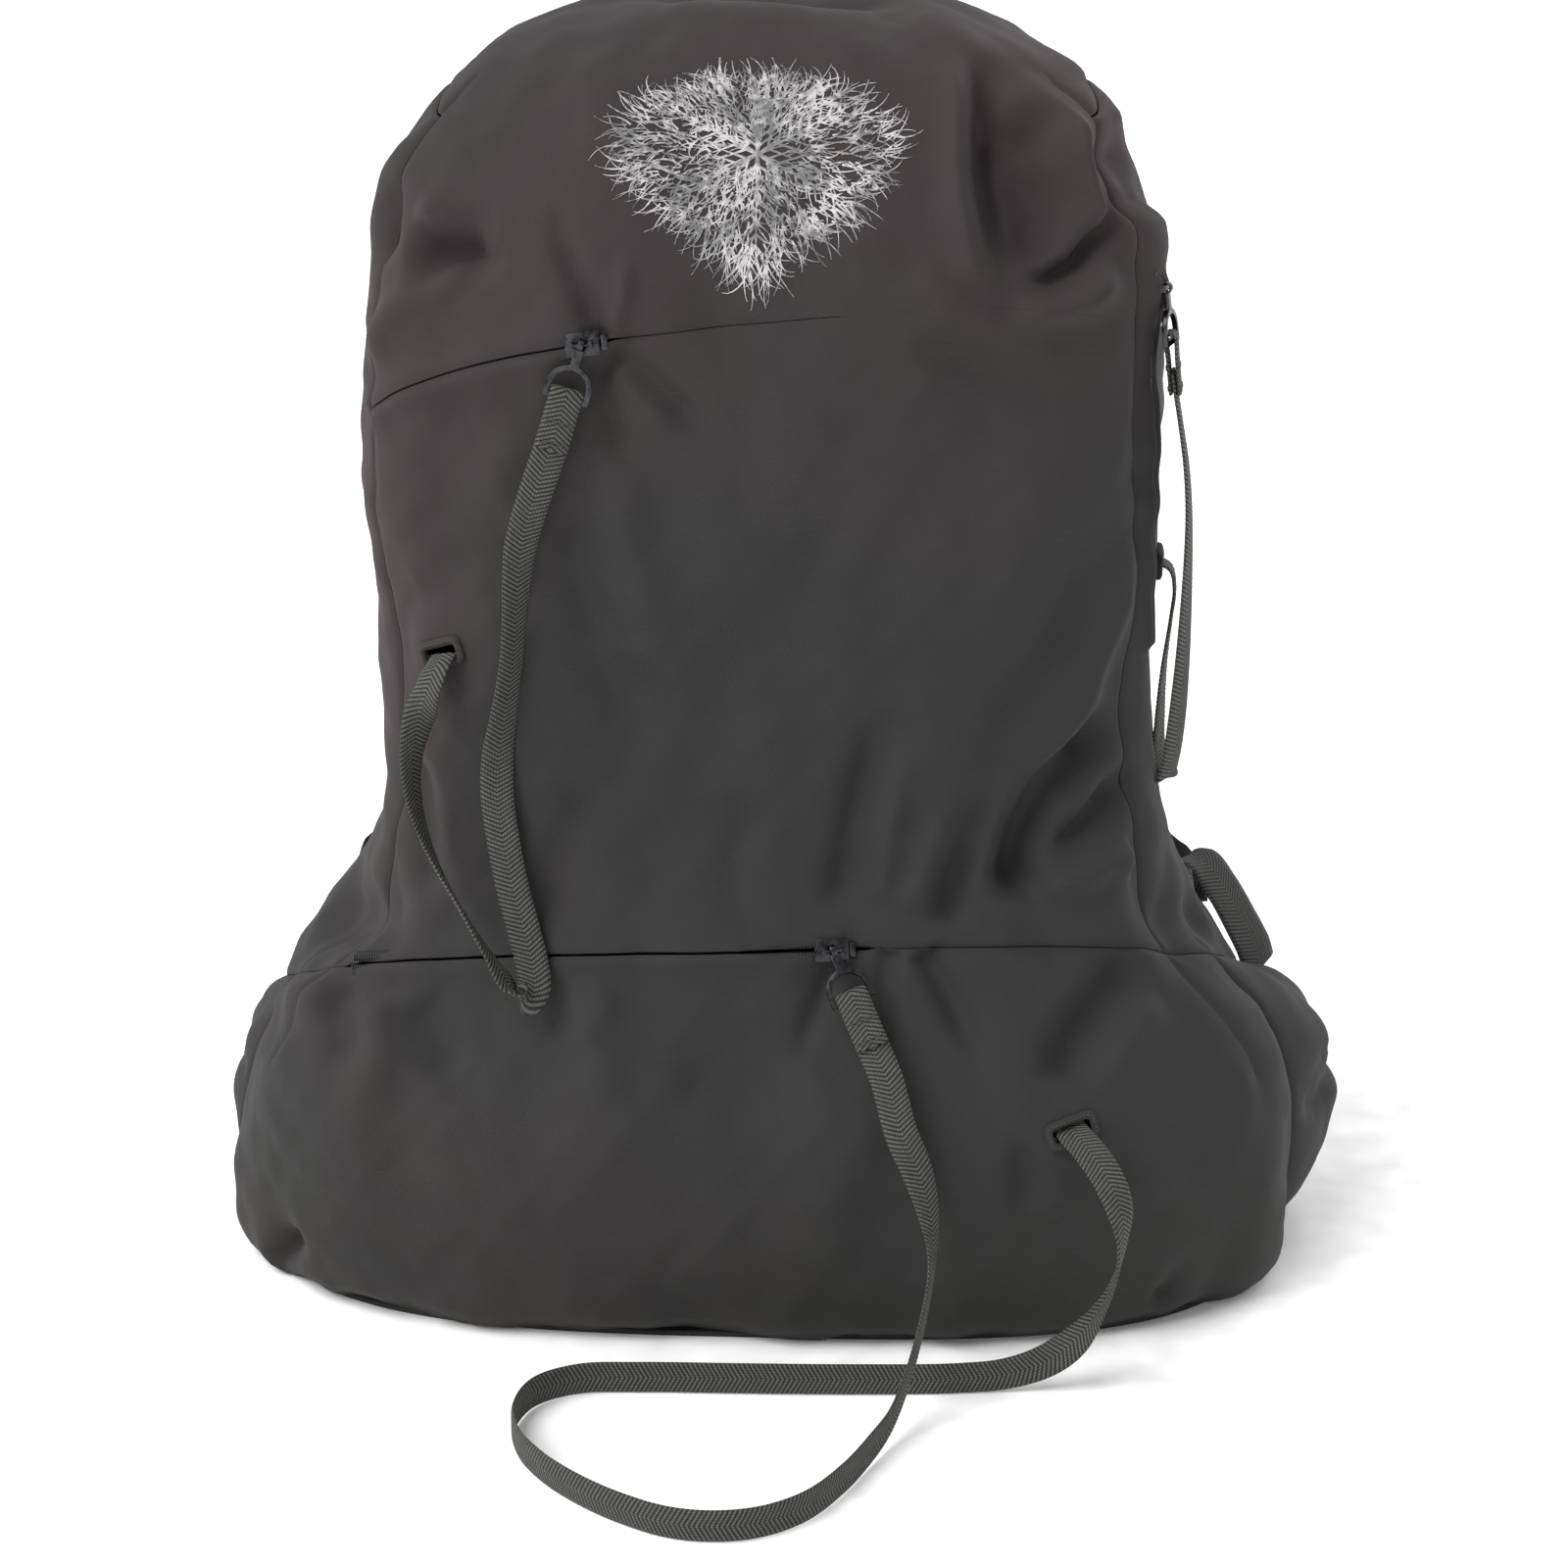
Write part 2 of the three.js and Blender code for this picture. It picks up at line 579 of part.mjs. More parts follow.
const upperChannel = channel(upperPath, ZIP_END_MARGIN);
const lowerChannel = channel(lowerPath, ZIP_END_MARGIN);
const sideChannel = channel(sidePath, ZIP_END_MARGIN);
const aboveUpper = planeBlock(UPPER_PLANE, 1);
const belowUpper = planeBlock(UPPER_PLANE, -1);
const aboveLower = planeBlock(LOWER_PLANE, 1);
const belowLower = planeBlock(LOWER_PLANE, -1);

const FRONT_LEFT = -180 + FRONT_CORNER;
const FRONT_RIGHT = -FRONT_CORNER;
const WING_LEFT = -180 + WING_CORNER;
const WING_RIGHT = -WING_CORNER;
const BACK_RIGHT = BACK_CORNER;
const BACK_LEFT = 180 - BACK_CORNER;

// The webbing's way through a panel, cut where each pull goes back into the bag.
const SLOTS = [
  { name: "upper", phi: -135, z: 250.5, tilt: 20, body: "front" },
  { name: "lower", phi: -57.4, z: 87, tilt: 16, body: "pocket" },
  { name: "side", phi: -5, z: 272, tilt: 0, body: "side" },
];

// The frame of a slot: its long side, its short side and the way out of the bag.
function slotFrame({ phi, z, tilt }) {
  const out = skinNormal(phi, z);
  const round = V(0, 0, 1).cross(out).normalize();
  const long = round.applyAxisAngle(out, tilt * DEG);
  return { place: skin(phi, z), long, short: out.clone().cross(long), out };
}

const SLOT_LENGTH = WEBBING_WIDTH + 2.4;
const SLOT_HEIGHT = WEBBING_THICKNESS + 4;

function slotBlock(slot, margin, low, high) {
  const { place, long, short, out } = slotFrame(slot);
  const centre = place.clone().addScaledVector(out, (low + high) / 2);
  return boxSolid(centre, long, short, out,
    [SLOT_LENGTH + 2 * margin, SLOT_HEIGHT + 2 * margin, high - low]);
}

const slotCuts = Object.fromEntries(SLOTS.map((slot) => [slot.body, slotBlock(slot, 0, -9, 9)]));

// The hood: the top of the front, and the cap that closes the whole bag.
const hoodFront = clothPanel(FRONT_LEFT, FRONT_RIGHT, rowsFrom(ROWS[13], CAP_HEIGHT + 1));
const CAP_ROWS = [0, 0.4, 0.72, 0.92, 1];
const capHeights = CAP_ROWS.map((t) => CAP_HEIGHT + (BAG_HEIGHT - CAP_HEIGHT) * t);
const CAP_COLUMNS = 360 / PANEL_STEP;

function capGrid(out) {
  return capHeights.map((z, row) => Array.from({ length: CAP_COLUMNS }, (_, c) => (
    row === capHeights.length - 1
      ? V(0, DOME_LEAN, BAG_HEIGHT + out)
      : skinOffset(c * PANEL_STEP, z, out)
  )));
}

const cap = solid(slab(capGrid(0), capGrid(-SHELL), true));
const hood = join(hoodFront.intersect(aboveUpper), cap).subtract(upperChannel).subtract(sideChannel);
addPiece("hood_panel", hood, tintedCloth);

const frontPanel = clothPanel(FRONT_LEFT, FRONT_RIGHT, rowsFrom(ROWS[7], ROWS[18]))
  .intersect(belowUpper).intersect(aboveLower)
  .subtract(upperChannel).subtract(lowerChannel).subtract(sideChannel)
  .subtract(slotCuts.front);
addPiece("front_panel", frontPanel, cloth);

const pocketPanel = clothPanel(WING_LEFT, WING_RIGHT, rowsFrom(ROWS[0], ROWS[11]))
  .intersect(belowLower).subtract(lowerChannel).subtract(slotCuts.pocket);
addPiece("lower_pocket_panel", pocketPanel, tintedCloth);

// Side panels run from the front corners to the back corners, down to the lower seam.
const SIDE_ROWS = rowsFrom(ROWS[3], CAP_HEIGHT - SEAM_GAP);
const rightSide = clothPanel(FRONT_RIGHT, BACK_RIGHT, SIDE_ROWS)
  .intersect(aboveLower).subtract(sideChannel).subtract(slotCuts.side);
const leftSide = clothPanel(BACK_LEFT, FRONT_LEFT + 360, SIDE_ROWS)
  .intersect(aboveLower).subtract(upperChannel);
addPiece("right_side_panel", rightSide, cloth);
addPiece("left_side_panel", leftSide, tintedCloth);
const backPanel = clothPanel(BACK_RIGHT, BACK_LEFT, rowsFrom(ROWS[0], CAP_HEIGHT - SEAM_GAP));
addPiece("back_panel", backPanel, spacerMesh);

// Behind the pocket the sides of the base swell into wings that carry the strap anchors.
function wingPanel(phiFrom, phiTo) {
  const from = phiFrom + halfGap(phiFrom);
  const to = phiTo - halfGap(phiTo);
  const columns = columnsFor(from, to);
  const heights = rowsFrom(ROWS[0], ROWS[10]);
  const grid = (inset) => heights.map((z) => Array.from({ length: columns + 1 }, (_, c) => {
    const swell = Math.sin(Math.PI * c / columns) * Math.sin(Math.PI * Math.min(z / WING_SWELL_TOP, 1));
    return skinOffset(from + (to - from) * c / columns, z, WING_SWELL * swell - inset);
  }));
  return solid(slab(grid(0), grid(SHELL), false)).intersect(belowLower);
}

addPiece("right_wing_panel", wingPanel(WING_RIGHT, BACK_RIGHT), cloth);
addPiece("left_wing_panel", wingPanel(BACK_LEFT, WING_LEFT + 360), tintedCloth);

// Flat pieces inside: an outline of the bag at height z, drawn in by `inset`.
function flatPiece(z, inset, thickness) {
  const shape = new THREE.Shape();
  for (let phi = -180; phi < 180; phi += PANEL_STEP) {
    const edge = skinOffset(phi, z, -inset);
    if (phi === -180) shape.moveTo(edge.x, edge.y);
    else shape.lineTo(edge.x, edge.y);
  }
  return solid(extruded(shape, thickness, 1), new THREE.Matrix4().setPosition(0, 0, z));
}

addPiece("base_panel", flatPiece(0, SHELL + LAYER_GAP, SHELL), board);
const stiffener = flatPiece(SHELL + LAYER_GAP, STIFFENER_INSET, STIFFENER_THICKNESS);
addPiece("base_stiffener", stiffener, board);
addPiece("divider_panel", flatPiece(DIVIDER_HEIGHT, DIVIDER_INSET, DIVIDER_THICKNESS), cloth);

// A layer against the back panel, with its side edges at `corner` degrees behind the sides.
function backLayer(corner, heights, outer, inner) {
  const columns = columnsFor(corner, 180 - corner);
  return solid(panel(corner, 180 - corner, columns, heights, outer, inner));
}

const padOuter = LAYER_GAP + PAD_THICKNESS;
const boardOuter = -SHELL - LAYER_GAP;
const padRows = rowsFrom(PAD_BOTTOM, PAD_TOP);
const boardRows = rowsFrom(SHEET_BOTTOM, PAD_TOP);
const yokeRows = [...rowsFrom(YOKE_BOTTOM, CAP_HEIGHT), YOKE_TOP];
const yokeOuter = LAYER_GAP + YOKE_THICKNESS;
addPiece("back_pad", backLayer(PAD_CORNER, padRows, padOuter, LAYER_GAP), foam);
addPiece("back_yoke", backLayer(YOKE_CORNER, yokeRows, yokeOuter, LAYER_GAP), cloth);
addPiece("back_stiffener", backLayer(SHEET_CORNER, boardRows, boardOuter,
  boardOuter - STIFFENER_THICKNESS), board);

// ---------------------------------------------------------------- slots and stops

for (const slot of SLOTS) {
  const patch = slotBlock(slot, SLOT_RIM, PATCH_LIFT, PATCH_LIFT + PATCH_THICKNESS);
  addPiece(slot.name + "_slot_patch", patch.subtract(slotBlock(slot, 0.4, -9, 9)), webbing);
}

for (const zip of ZIPS) {
  const end = zip.path.at(SLIDER_REST - (SLIDER_LENGTH + STOP_LENGTH) / 2 - FIT_GAP);
  addPiece(zip.name + "_zip_stop", boxSolid(end.place, end.along, end.across, end.out,
    [STOP_LENGTH, 2 * COIL_WIDTH + COIL_SPLIT, COIL_HEIGHT]), metal);
}

// ---------------------------------------------------------------- carrying gear

for (const [side, sign] of [["left", -1], ["right", 1]]) {
  const at = (x, y, z) => [sign * x, y, z, 1, 0, 0];
  const top = STRAP_REACH - STRAP_THICKNESS / 2;
  const shoulder = [
    at(STRAP_SPACING, 87.2, 436), at(STRAP_SPACING, 88.6, 427), at(STRAP_SPACING + 1.5, 95, 411),
    at(STRAP_SPACING + 4, 104, 394), at(STRAP_SPACING + 8, 110, 372),
    at(STRAP_SPACING + 16, top, 330), at(STRAP_SPACING + 25, top, 280),
    at(STRAP_SPACING + 36, top - 2, 240), at(STRAP_SPACING + 44, top - 5, STRAP_END + 18),
    at(STRAP_SPACING + 46, top - 6, STRAP_END),
  ];
  addPiece(side + "_shoulder_strap", webbingStrip(shoulder, STRAP_WIDTH, STRAP_THICKNESS, 22), foam);

  const buckleX = STRAP_SPACING + 47;
  const buckleY = top - 7;
  const buckleZ = STRAP_END - BUCKLE_GAP - BUCKLE_HEIGHT / 2;
  const place = V(sign * buckleX, buckleY, buckleZ);
  const frame = [place, X, Y, Z];
  const hole = (z) => boxSolid(place.clone().add(V(0, 0, z)), X, Y, Z,
    [STRAP_WEBBING + 1.5, 3 * BUCKLE_THICKNESS, BUCKLE_SLOT]);
  const buckle = boxSolid(...frame, [STRAP_WEBBING + 9, BUCKLE_THICKNESS, BUCKLE_HEIGHT])
    .subtract(hole(BUCKLE_HEIGHT / 4)).subtract(hole(-BUCKLE_HEIGHT / 4));
  addPiece(side + "_ladder_lock", buckle, plastic);

  const low = buckleZ - BUCKLE_HEIGHT / 2 - BUCKLE_GAP;
  const lowerStrap = [
    [sign * buckleX, buckleY, low, 1, 0, 0], [sign * (buckleX + 2), buckleY, low - 9, 1, 0, 0],
    [sign * (buckleX + 14), buckleY - 2, low - 24, 1, 0.1 * sign, 0.2 * sign],
    [sign * (buckleX + 32), buckleY - 12, low - 38, 0.8, -0.2 * sign, 0.5 * sign],
    [sign * (buckleX + 52), buckleY - 27, low - 43, 0.5, -0.5 * sign, 0.7 * sign],
    [sign * ANCHOR_X, ANCHOR_Y, ANCHOR_Z, 0.35, -0.75 * sign, 0.5 * sign],
  ];
  const lowerStrip = webbingStrip(lowerStrap, STRAP_WEBBING, WEBBING_THICKNESS, WEBBING_STEP);
  addPiece(side + "_strap_webbing", lowerStrip, webbing);
}

// The haul handle hangs behind the top, between the shoulder straps.
const handleEdge = V(0, HANDLE_CLEAR, HANDLE_TOP);
const handleDown = V(0, Math.sin(HANDLE_TILT * DEG), -Math.cos(HANDLE_TILT * DEG));
const handleOut = V(0, Math.cos(HANDLE_TILT * DEG), Math.sin(HANDLE_TILT * DEG));
// Half the loop's outline, as shares of its half span and of its drop.
const HANDLE_OUTLINE = [[1, 0], [1.04, 0.45], [0.7, 0.86], [0, 1]];
const handlePoint = (sign) => ([across, drop]) => {
  const p = handleEdge.clone().addScaledVector(handleDown, drop * HANDLE_DROP)
    .addScaledVector(handleOut, HANDLE_WIDTH / 2);
  return [sign * across * HANDLE_SPAN / 2, p.y, p.z, ...handleOut];
};
const handleRoute = [
  ...HANDLE_OUTLINE.map(handlePoint(-1)),
  ...HANDLE_OUTLINE.slice(0, -1).reverse().map(handlePoint(1)),
];
addPiece("haul_handle", webbingStrip(handleRoute, HANDLE_WIDTH, HANDLE_THICKNESS, 7), webbing);

// ---------------------------------------------------------------- the long webbing pulls

// Each pull leaves its tab, hangs, and goes back into the bag through its slot.
const UPPER_ROUTE = [
  [-71.6, -83.2, 331.8, 1, 0.05, -0.3], [-75.4, -83.4, 321, 1, 0.1, -0.3],
  [-79.6, -82.6, 308.5, 1, 0.15, -0.2],
  [-83.2, -81.6, 295, 0.9, 0.35, 0.1], [-84.8, -82.2, 281, 0.75, 0.6, 0.1],
  [-86, -82.4, 266.5, 0.62, 0.75, 0.1], [-87.2, -82.4, 253.5, 0.62, 0.75, 0.1],
  [-90.4, -81.8, 233.5, 0.7, 0.6, 0.1], [-93, -81.6, 218, 0.85, 0.4, 0.05],
  [-93.6, -82.2, 203, 1, 0.1, -0.1], [-91.9, -84.2, 188.5, 1, 0, -0.15],
  [-88.2, -88.6, 170, 1, 0, -0.25], [-84, -93.6, 156, 1, 0, -0.3],
  [-80.4, -99, 144, 1, 0, -0.35], [-79.2, -103.4, 136.4, 1, 0.02, -0.4],
  [-81.4, -106.6, 132.8, 0.9, 0.1, -0.55], [-86.4, -106, 135.4, 0.75, 0.1, -0.7],
  [-94.5, -101.6, 145.5, 0.6, 0.15, -0.8], [-104, -94.4, 158, 0.45, 0.2, -0.85],
  [-113.4, -86.2, 170.6, 0.35, 0.35, -0.8], [-120.6, -78.4, 182.6, 0.25, 0.7, -0.5],
  [-125, -73.6, 196, 0.3, 0.9, -0.1], [-126, -72.4, 209.5, 0.5, 0.8, 0],
  [-123.6, -73.4, 224, 0.8, 0.5, -0.05], [-119.6, -74.6, 237, 0.85, -0.5, 0.2],
  [-116.2, -72.8, 246, 0.85, -0.5, 0.25], [-113.6, -66.4, 250.4, 0.85, -0.5, 0.25],
];
const LOWER_ROUTE = [
  [43.9, -116.3, 121, 1, 0.2, 0.35], [49, -122.6, 111, 1, 0.2, 0.38],
  [54.4, -129.4, 93.6, 1, 0.2, 0.4], [60.2, -133.6, 81, 0.85, 0.55, 0.35],
  [64.2, -137.4, 68.4, 0.55, 0.85, 0.3], [66, -141.4, 57, 0.25, 1, 0.35],
  [66, -147, 46.6, 0.1, 0.9, 0.6], [64.4, -153.2, 36.8, 0.1, 0.7, 0.8],
  [61.6, -162.4, 26.6, 0.1, 0.5, 1], [57.6, -174.6, 16.6, 0.1, 0.3, 1],
  [52.6, -188.4, 9.2, 0, 0.1, 1], [46, -204, 6.6, 0, 0, 1], [37, -225, 6.3, 0, 0, 1],
  [25, -244, 6.3, 0, 0, 1], [11, -254.6, 6.3, 0, 0, 1], [-4, -258.4, 6.3, 0, 0, 1],
  [-20, -256.6, 6.3, 0, 0, 1], [-37, -248, 6.3, 0, 0, 1], [-53, -235.6, 6.3, 0, 0, 1],
  [-67, -220.4, 6.3, 0, 0, 1], [-77, -203, 6.3, 0, 0, 1], [-80.2, -184, 6.3, 0, 0, 1],
  [-74.6, -166.4, 6.3, 0, 0, 1], [-60, -156.4, 6.3, 0, 0, 1], [-38, -154, 6.3, 0, 0, 1],
  [0, -153.2, 6.3, 0, 0, 1], [40, -152, 6.3, 0, 0, 1], [76, -149.4, 6.3, 0, 0, 1],
  [94, -147, 7.4, 0, 0.1, 1], [108.6, -144.6, 12, -0.1, 0.35, 0.9],
  [119.4, -143, 20.4, -0.1, 0.7, 0.7], [127.6, -142, 32.6, 0, 0.95, 0.3],
  [132.6, -141, 46, 0.15, 1, 0.1], [134.2, -138.8, 58.6, 0.4, 0.9, 0],
  [132.4, -134.4, 69.6, 0.8, 0.55, 0.1], [128, -128.4, 77.8, 0.95, 0.3, 0.25],
  [122.4, -121.6, 83.6, 0.95, 0.2, 0.3], [116.4, -112.4, 87, 0.93, 0.25, 0.28],
  [114.4, -106, 88, 0.93, 0.25, 0.28],
];
const SIDE_ROUTE = [
  [148.8, -33, 342.4, 0.1, 1, 0], [151, -33, 330, 0.1, 1, 0], [153.4, -33, 315, 0.15, 1, 0],
  [154.8, -32.6, 299, 0.2, 1, 0], [155.2, -32, 280, 0.3, 1, 0], [155, -31, 259, 0.45, 1, 0],
  [154.4, -29.4, 237, 0.6, 1, 0], [153.2, -27, 215, 0.75, 1, 0], [151.8, -24, 200, 0.75, 1, 0],
  [150.2, -20.4, 191.8, 0.7, 1, 0], [148.6, -16.6, 191.6, 0.6, 1, 0], [147.8, -13, 199, 0.5, 1, 0],
  [148, -10, 214, 0.35, 1, 0], [149, -8.2, 232, 0.2, 1, 0], [151, -7.4, 250, 0.1, 1, 0],
  [152, -7.2, 262, 0.06, 1, 0], [150.2, -7.2, 269.6, 0.05, 1, 0], [145.6, -7.2, 272, 0.05, 1, 0],
  [140, -7.2, 272.2, 0.05, 1, 0],
];

const ROUTES = { upper: UPPER_ROUTE, lower: LOWER_ROUTE, side: SIDE_ROUTE };
for (const [name, route] of Object.entries(ROUTES)) {
  const strip = webbingStrip(route, WEBBING_WIDTH, WEBBING_THICKNESS, WEBBING_STEP);
  addPiece(name + "_pull_webbing", strip, webbing);
}

export default bag;
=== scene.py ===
import math
import random

import bmesh
import bpy
import numpy as np
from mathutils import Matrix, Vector


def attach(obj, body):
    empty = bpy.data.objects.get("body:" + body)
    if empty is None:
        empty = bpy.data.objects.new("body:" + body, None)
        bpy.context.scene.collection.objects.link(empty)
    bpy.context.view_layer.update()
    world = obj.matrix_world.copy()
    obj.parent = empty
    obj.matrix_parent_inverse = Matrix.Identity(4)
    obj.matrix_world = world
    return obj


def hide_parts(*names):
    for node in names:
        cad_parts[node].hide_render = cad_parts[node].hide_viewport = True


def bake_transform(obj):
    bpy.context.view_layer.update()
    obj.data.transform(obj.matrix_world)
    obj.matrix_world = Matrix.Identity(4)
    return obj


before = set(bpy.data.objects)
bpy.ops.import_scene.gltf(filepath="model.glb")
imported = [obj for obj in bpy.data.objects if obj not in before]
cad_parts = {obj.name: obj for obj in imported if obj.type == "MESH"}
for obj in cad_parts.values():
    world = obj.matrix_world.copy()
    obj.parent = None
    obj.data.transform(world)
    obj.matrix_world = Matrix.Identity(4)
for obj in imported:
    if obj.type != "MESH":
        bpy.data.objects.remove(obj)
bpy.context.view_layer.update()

MM = 0.001
ROOT = "bag"

# ---------------------------------------------------------------- camera, floor and light

STAND = Vector((0.0749, -1.4286, 0.6811))
LOOK_AT = Vector((0.0063, 0.0, 0.1795))


def aimed(obj, place, target):
    obj.location = place
    obj.rotation_euler = (Vector(target) - Vector(place)).to_track_quat("-Z", "Y").to_euler()
    bpy.context.scene.collection.objects.link(obj)
    return obj


camera = aimed(bpy.data.objects.new("camera", bpy.data.cameras.new("camera")), STAND, LOOK_AT)
camera.data.sensor_width = 36
camera.data.lens = 91.1
camera.data.clip_start = 0.05
camera.data.clip_end = 60
bpy.context.scene.camera = camera


def soft_sun(name, place, spread, strength):
    """A wide, distant softbox: it lights the whole pale floor evenly."""
    data = bpy.data.lights.new(name, "SUN")
    data.angle = math.radians(spread)
    data.energy = strength
    return aimed(bpy.data.objects.new(name, data), place, (0, 0, 0))


def soft_light(name, place, target, size, watts):
    data = bpy.data.lights.new(name, "AREA")
    data.shape = "DISK"
    data.size = size
    data.energy = watts
    return aimed(bpy.data.objects.new(name, data), place, target)


soft_sun("key", (-1.5, -0.9, 2.2), 42, 2.5)
soft_sun("back", (1.3, 1.7, 1.5), 60, 1.5)
soft_light("rim", (-1.9, 0.5, 1.1), (0, 0, 0.25), 0.9, 9)
soft_light("low_front", (-0.7, -2.4, 0.9), (0, 0, 0.2), 0.9, 5)

SKY_LIGHT = 0.55  # how strongly the sky lights the bag
SKY_SEEN = 1.0  # how bright it looks behind the bag

world = bpy.data.worlds.new("studio")
world.use_nodes = True
sky = world.node_tree.nodes["Background"]
sky.inputs["Color"].default_value = (1, 1, 1, 1)
seen = world.node_tree.nodes.new("ShaderNodeMapRange")
seen.inputs["To Min"].default_value = SKY_LIGHT
seen.inputs["To Max"].default_value = SKY_SEEN
world.node_tree.links.new(world.node_tree.nodes.new("ShaderNodeLightPath").outputs["Is Camera Ray"],
                          seen.inputs["Value"])
world.node_tree.links.new(seen.outputs["Result"], sky.inputs["Strength"])
bpy.context.scene.world = world
bpy.context.scene.view_settings.view_transform = "Standard"

# ---------------------------------------------------------------- material nodes


class Finish:
    """A material being built: node() adds a node, and link() joins two of them."""

    def __init__(self, name, base, rough, metallic=0.0, sheen=0.0, gloss=0.5):
        self.material = bpy.data.materials.new(name)
        self.material.use_nodes = True
        self.tree = self.material.node_tree
        self.shader = self.tree.nodes["Principled BSDF"]
        self.shader.inputs["Base Color"].default_value = (*base, 1)
        self.shader.inputs["Roughness"].default_value = rough
        self.shader.inputs["Metallic"].default_value = metallic
        self.shader.inputs["Sheen Weight"].default_value = sheen
        self.shader.inputs["Sheen Roughness"].default_value = 0.5
        self.shader.inputs["Specular IOR Level"].default_value = gloss
        self.height = None

    def node(self, kind, inputs=(), **settings):
        made = self.tree.nodes.new(kind)
        for key, value in settings.items():
            setattr(made, key, value)
        for key, value in dict(inputs).items():
            if isinstance(value, bpy.types.NodeSocket):
                self.tree.links.new(value, made.inputs[key])
            else:
                made.inputs[key].default_value = value
        return made

    def link(self, output, socket):
        self.tree.links.new(output, self.shader.inputs[socket])

    def place(self):
        return self.node("ShaderNodeTexCoord").outputs["Object"]

    def uv(self, scale=(1, 1, 1)):
        read = self.node("ShaderNodeUVMap", uv_map="along").outputs["UV"]
        return self.node("ShaderNodeMapping", {"Vector": read, "Scale": scale}).outputs["Vector"]

    def noise(self, vector, scale, detail=3.0, rough=0.5):
        made = self.node("ShaderNodeTexNoise",
                         {"Vector": vector, "Scale": scale, "Detail": detail, "Roughness": rough})
        return made.outputs["Fac"]

    def wave(self, vector, scale, direction="X", distortion=0.0):
        made = self.node("ShaderNodeTexWave", {"Vector": vector, "Scale": scale, "Distortion": distortion},
                         bands_direction=direction)
        return made.outputs["Fac"]

    def maths(self, operation, a, b=0.0, clamp=False):
        made = self.node("ShaderNodeMath", {0: a, 1: b}, operation=operation, use_clamp=clamp)
        return made.outputs[0]

    def spread(self, value, low, high, to_low=0.0, to_high=1.0):
        made = self.node("ShaderNodeMapRange", {"Value": value, "From Min": low, "From Max": high,
                                                "To Min": to_low, "To Max": to_high})
        return made.outputs["Result"]

    def mix(self, factor, a, b):
        made = self.node("ShaderNodeMix", data_type="RGBA")
        for index, value in ((0, factor), (6, a), (7, b)):
            if isinstance(value, bpy.types.NodeSocket):
                self.tree.links.new(value, made.inputs[index])
            else:
                made.inputs[index].default_value = value if index == 0 else (*value, 1)
        return made.outputs[2]

    def bump(self, height, strength, distance):
        inputs = {"Height": height, "Strength": strength, "Distance": distance}
        if self.height:
            inputs["Normal"] = self.height
        self.height = self.node("ShaderNodeBump", inputs).outputs["Normal"]
        self.link(self.height, "Normal")


def shell_cloth(name, base, painted_light_tint, painted_shade_tint):
    """Smooth outer cloth: a fine even knit, faint mottling, a brown cast painted on the top and the left as light
    falling there, and painted shade along the bottom edge.
    """
    f = Finish(name, base, 0.82, sheen=0.03, gloss=0.16)
    spot = f.place()
    mottle = f.spread(f.noise(spot, 26, 5, 0.62), 0.3, 0.72)
    drift = f.spread(f.noise(spot, 5.5, 2), 0.35, 0.65)
    axes = f.node("ShaderNodeSeparateXYZ", {"Vector": spot})
    # painted light: a lighter brown cast on the left side and the top, where the light falls from the upper left
    left = f.spread(axes.outputs["X"], 0.06, -0.2)
    high = f.spread(axes.outputs["Z"], 0.2, 0.44)
    painted_light_mask = f.maths("MULTIPLY", f.maths("MAXIMUM", left, high), drift, clamp=True)
    colour = f.mix(f.maths("MULTIPLY", painted_light_mask, 0.85), base, painted_light_tint)
    # painted shade: the bottom edge is darker and greener, broken up by the mottling
    painted_bottom_shade = f.maths("MULTIPLY", f.spread(axes.outputs["Z"], 0.075, 0.0), f.spread(mottle, 0.2, 0.9))
    colour = f.mix(f.maths("MULTIPLY", painted_bottom_shade, 0.5), colour, painted_shade_tint)
    colour = f.mix(f.maths("MULTIPLY", mottle, 0.22), colour, tuple(1.7 * c for c in base))
    f.link(colour, "Base Color")
    f.link(f.spread(mottle, 0, 1, 0.74, 0.9), "Roughness")
    f.bump(f.noise(spot, 95, 3, 0.6), 0.16, 0.0012)
    twill = f.node("ShaderNodeMapping", {"Vector": spot, "Rotation": (0.3, 0.7, 0.9)}).outputs["Vector"]
    knit = f.maths("ADD", f.wave(twill, 520), f.wave(twill, 520, "Z"))
    f.bump(knit, 0.22, 0.00012)
    return f.material


def ribbed_webbing(name, light, dark):
    """Polyester webbing: paired yarns lean in from both edges, with painted shade in the grooves between the crowns.
    """
    f = Finish(name, light, 0.72, sheen=0.03, gloss=0.25)
    along = f.uv()
    axes = f.node("ShaderNodeSeparateXYZ", {"Vector": along})
    lean = f.maths("MULTIPLY", f.maths("ABSOLUTE", axes.outputs["Y"]), 0.55)
    phase = f.maths("MULTIPLY", f.maths("ADD", axes.outputs["X"], lean), 2 * math.pi / 1.7)
    rib = f.spread(f.maths("SINE", phase), -1, 1)
    yarn = f.spread(f.maths("SINE", f.maths("MULTIPLY", axes.outputs["Y"], 2 * math.pi / 1.05)), -1, 1)
    weave = f.maths("MULTIPLY", rib, f.spread(yarn, 0, 1, 0.55, 1.0))
    grain = f.noise(f.place(), 900, 2)
    # painted shade: the grooves between the ribs are painted dark, and the crowns keep the webbing's colour
    painted_weave_shade = f.maths("MULTIPLY", weave, f.spread(grain, 0.3, 0.7, 0.75, 1.1))
    f.link(f.mix(painted_weave_shade, dark, light), "Base Color")
    f.bump(weave, 0.8, 0.0004)
    f.bump(grain, 0.25, 0.0001)
    return f.material


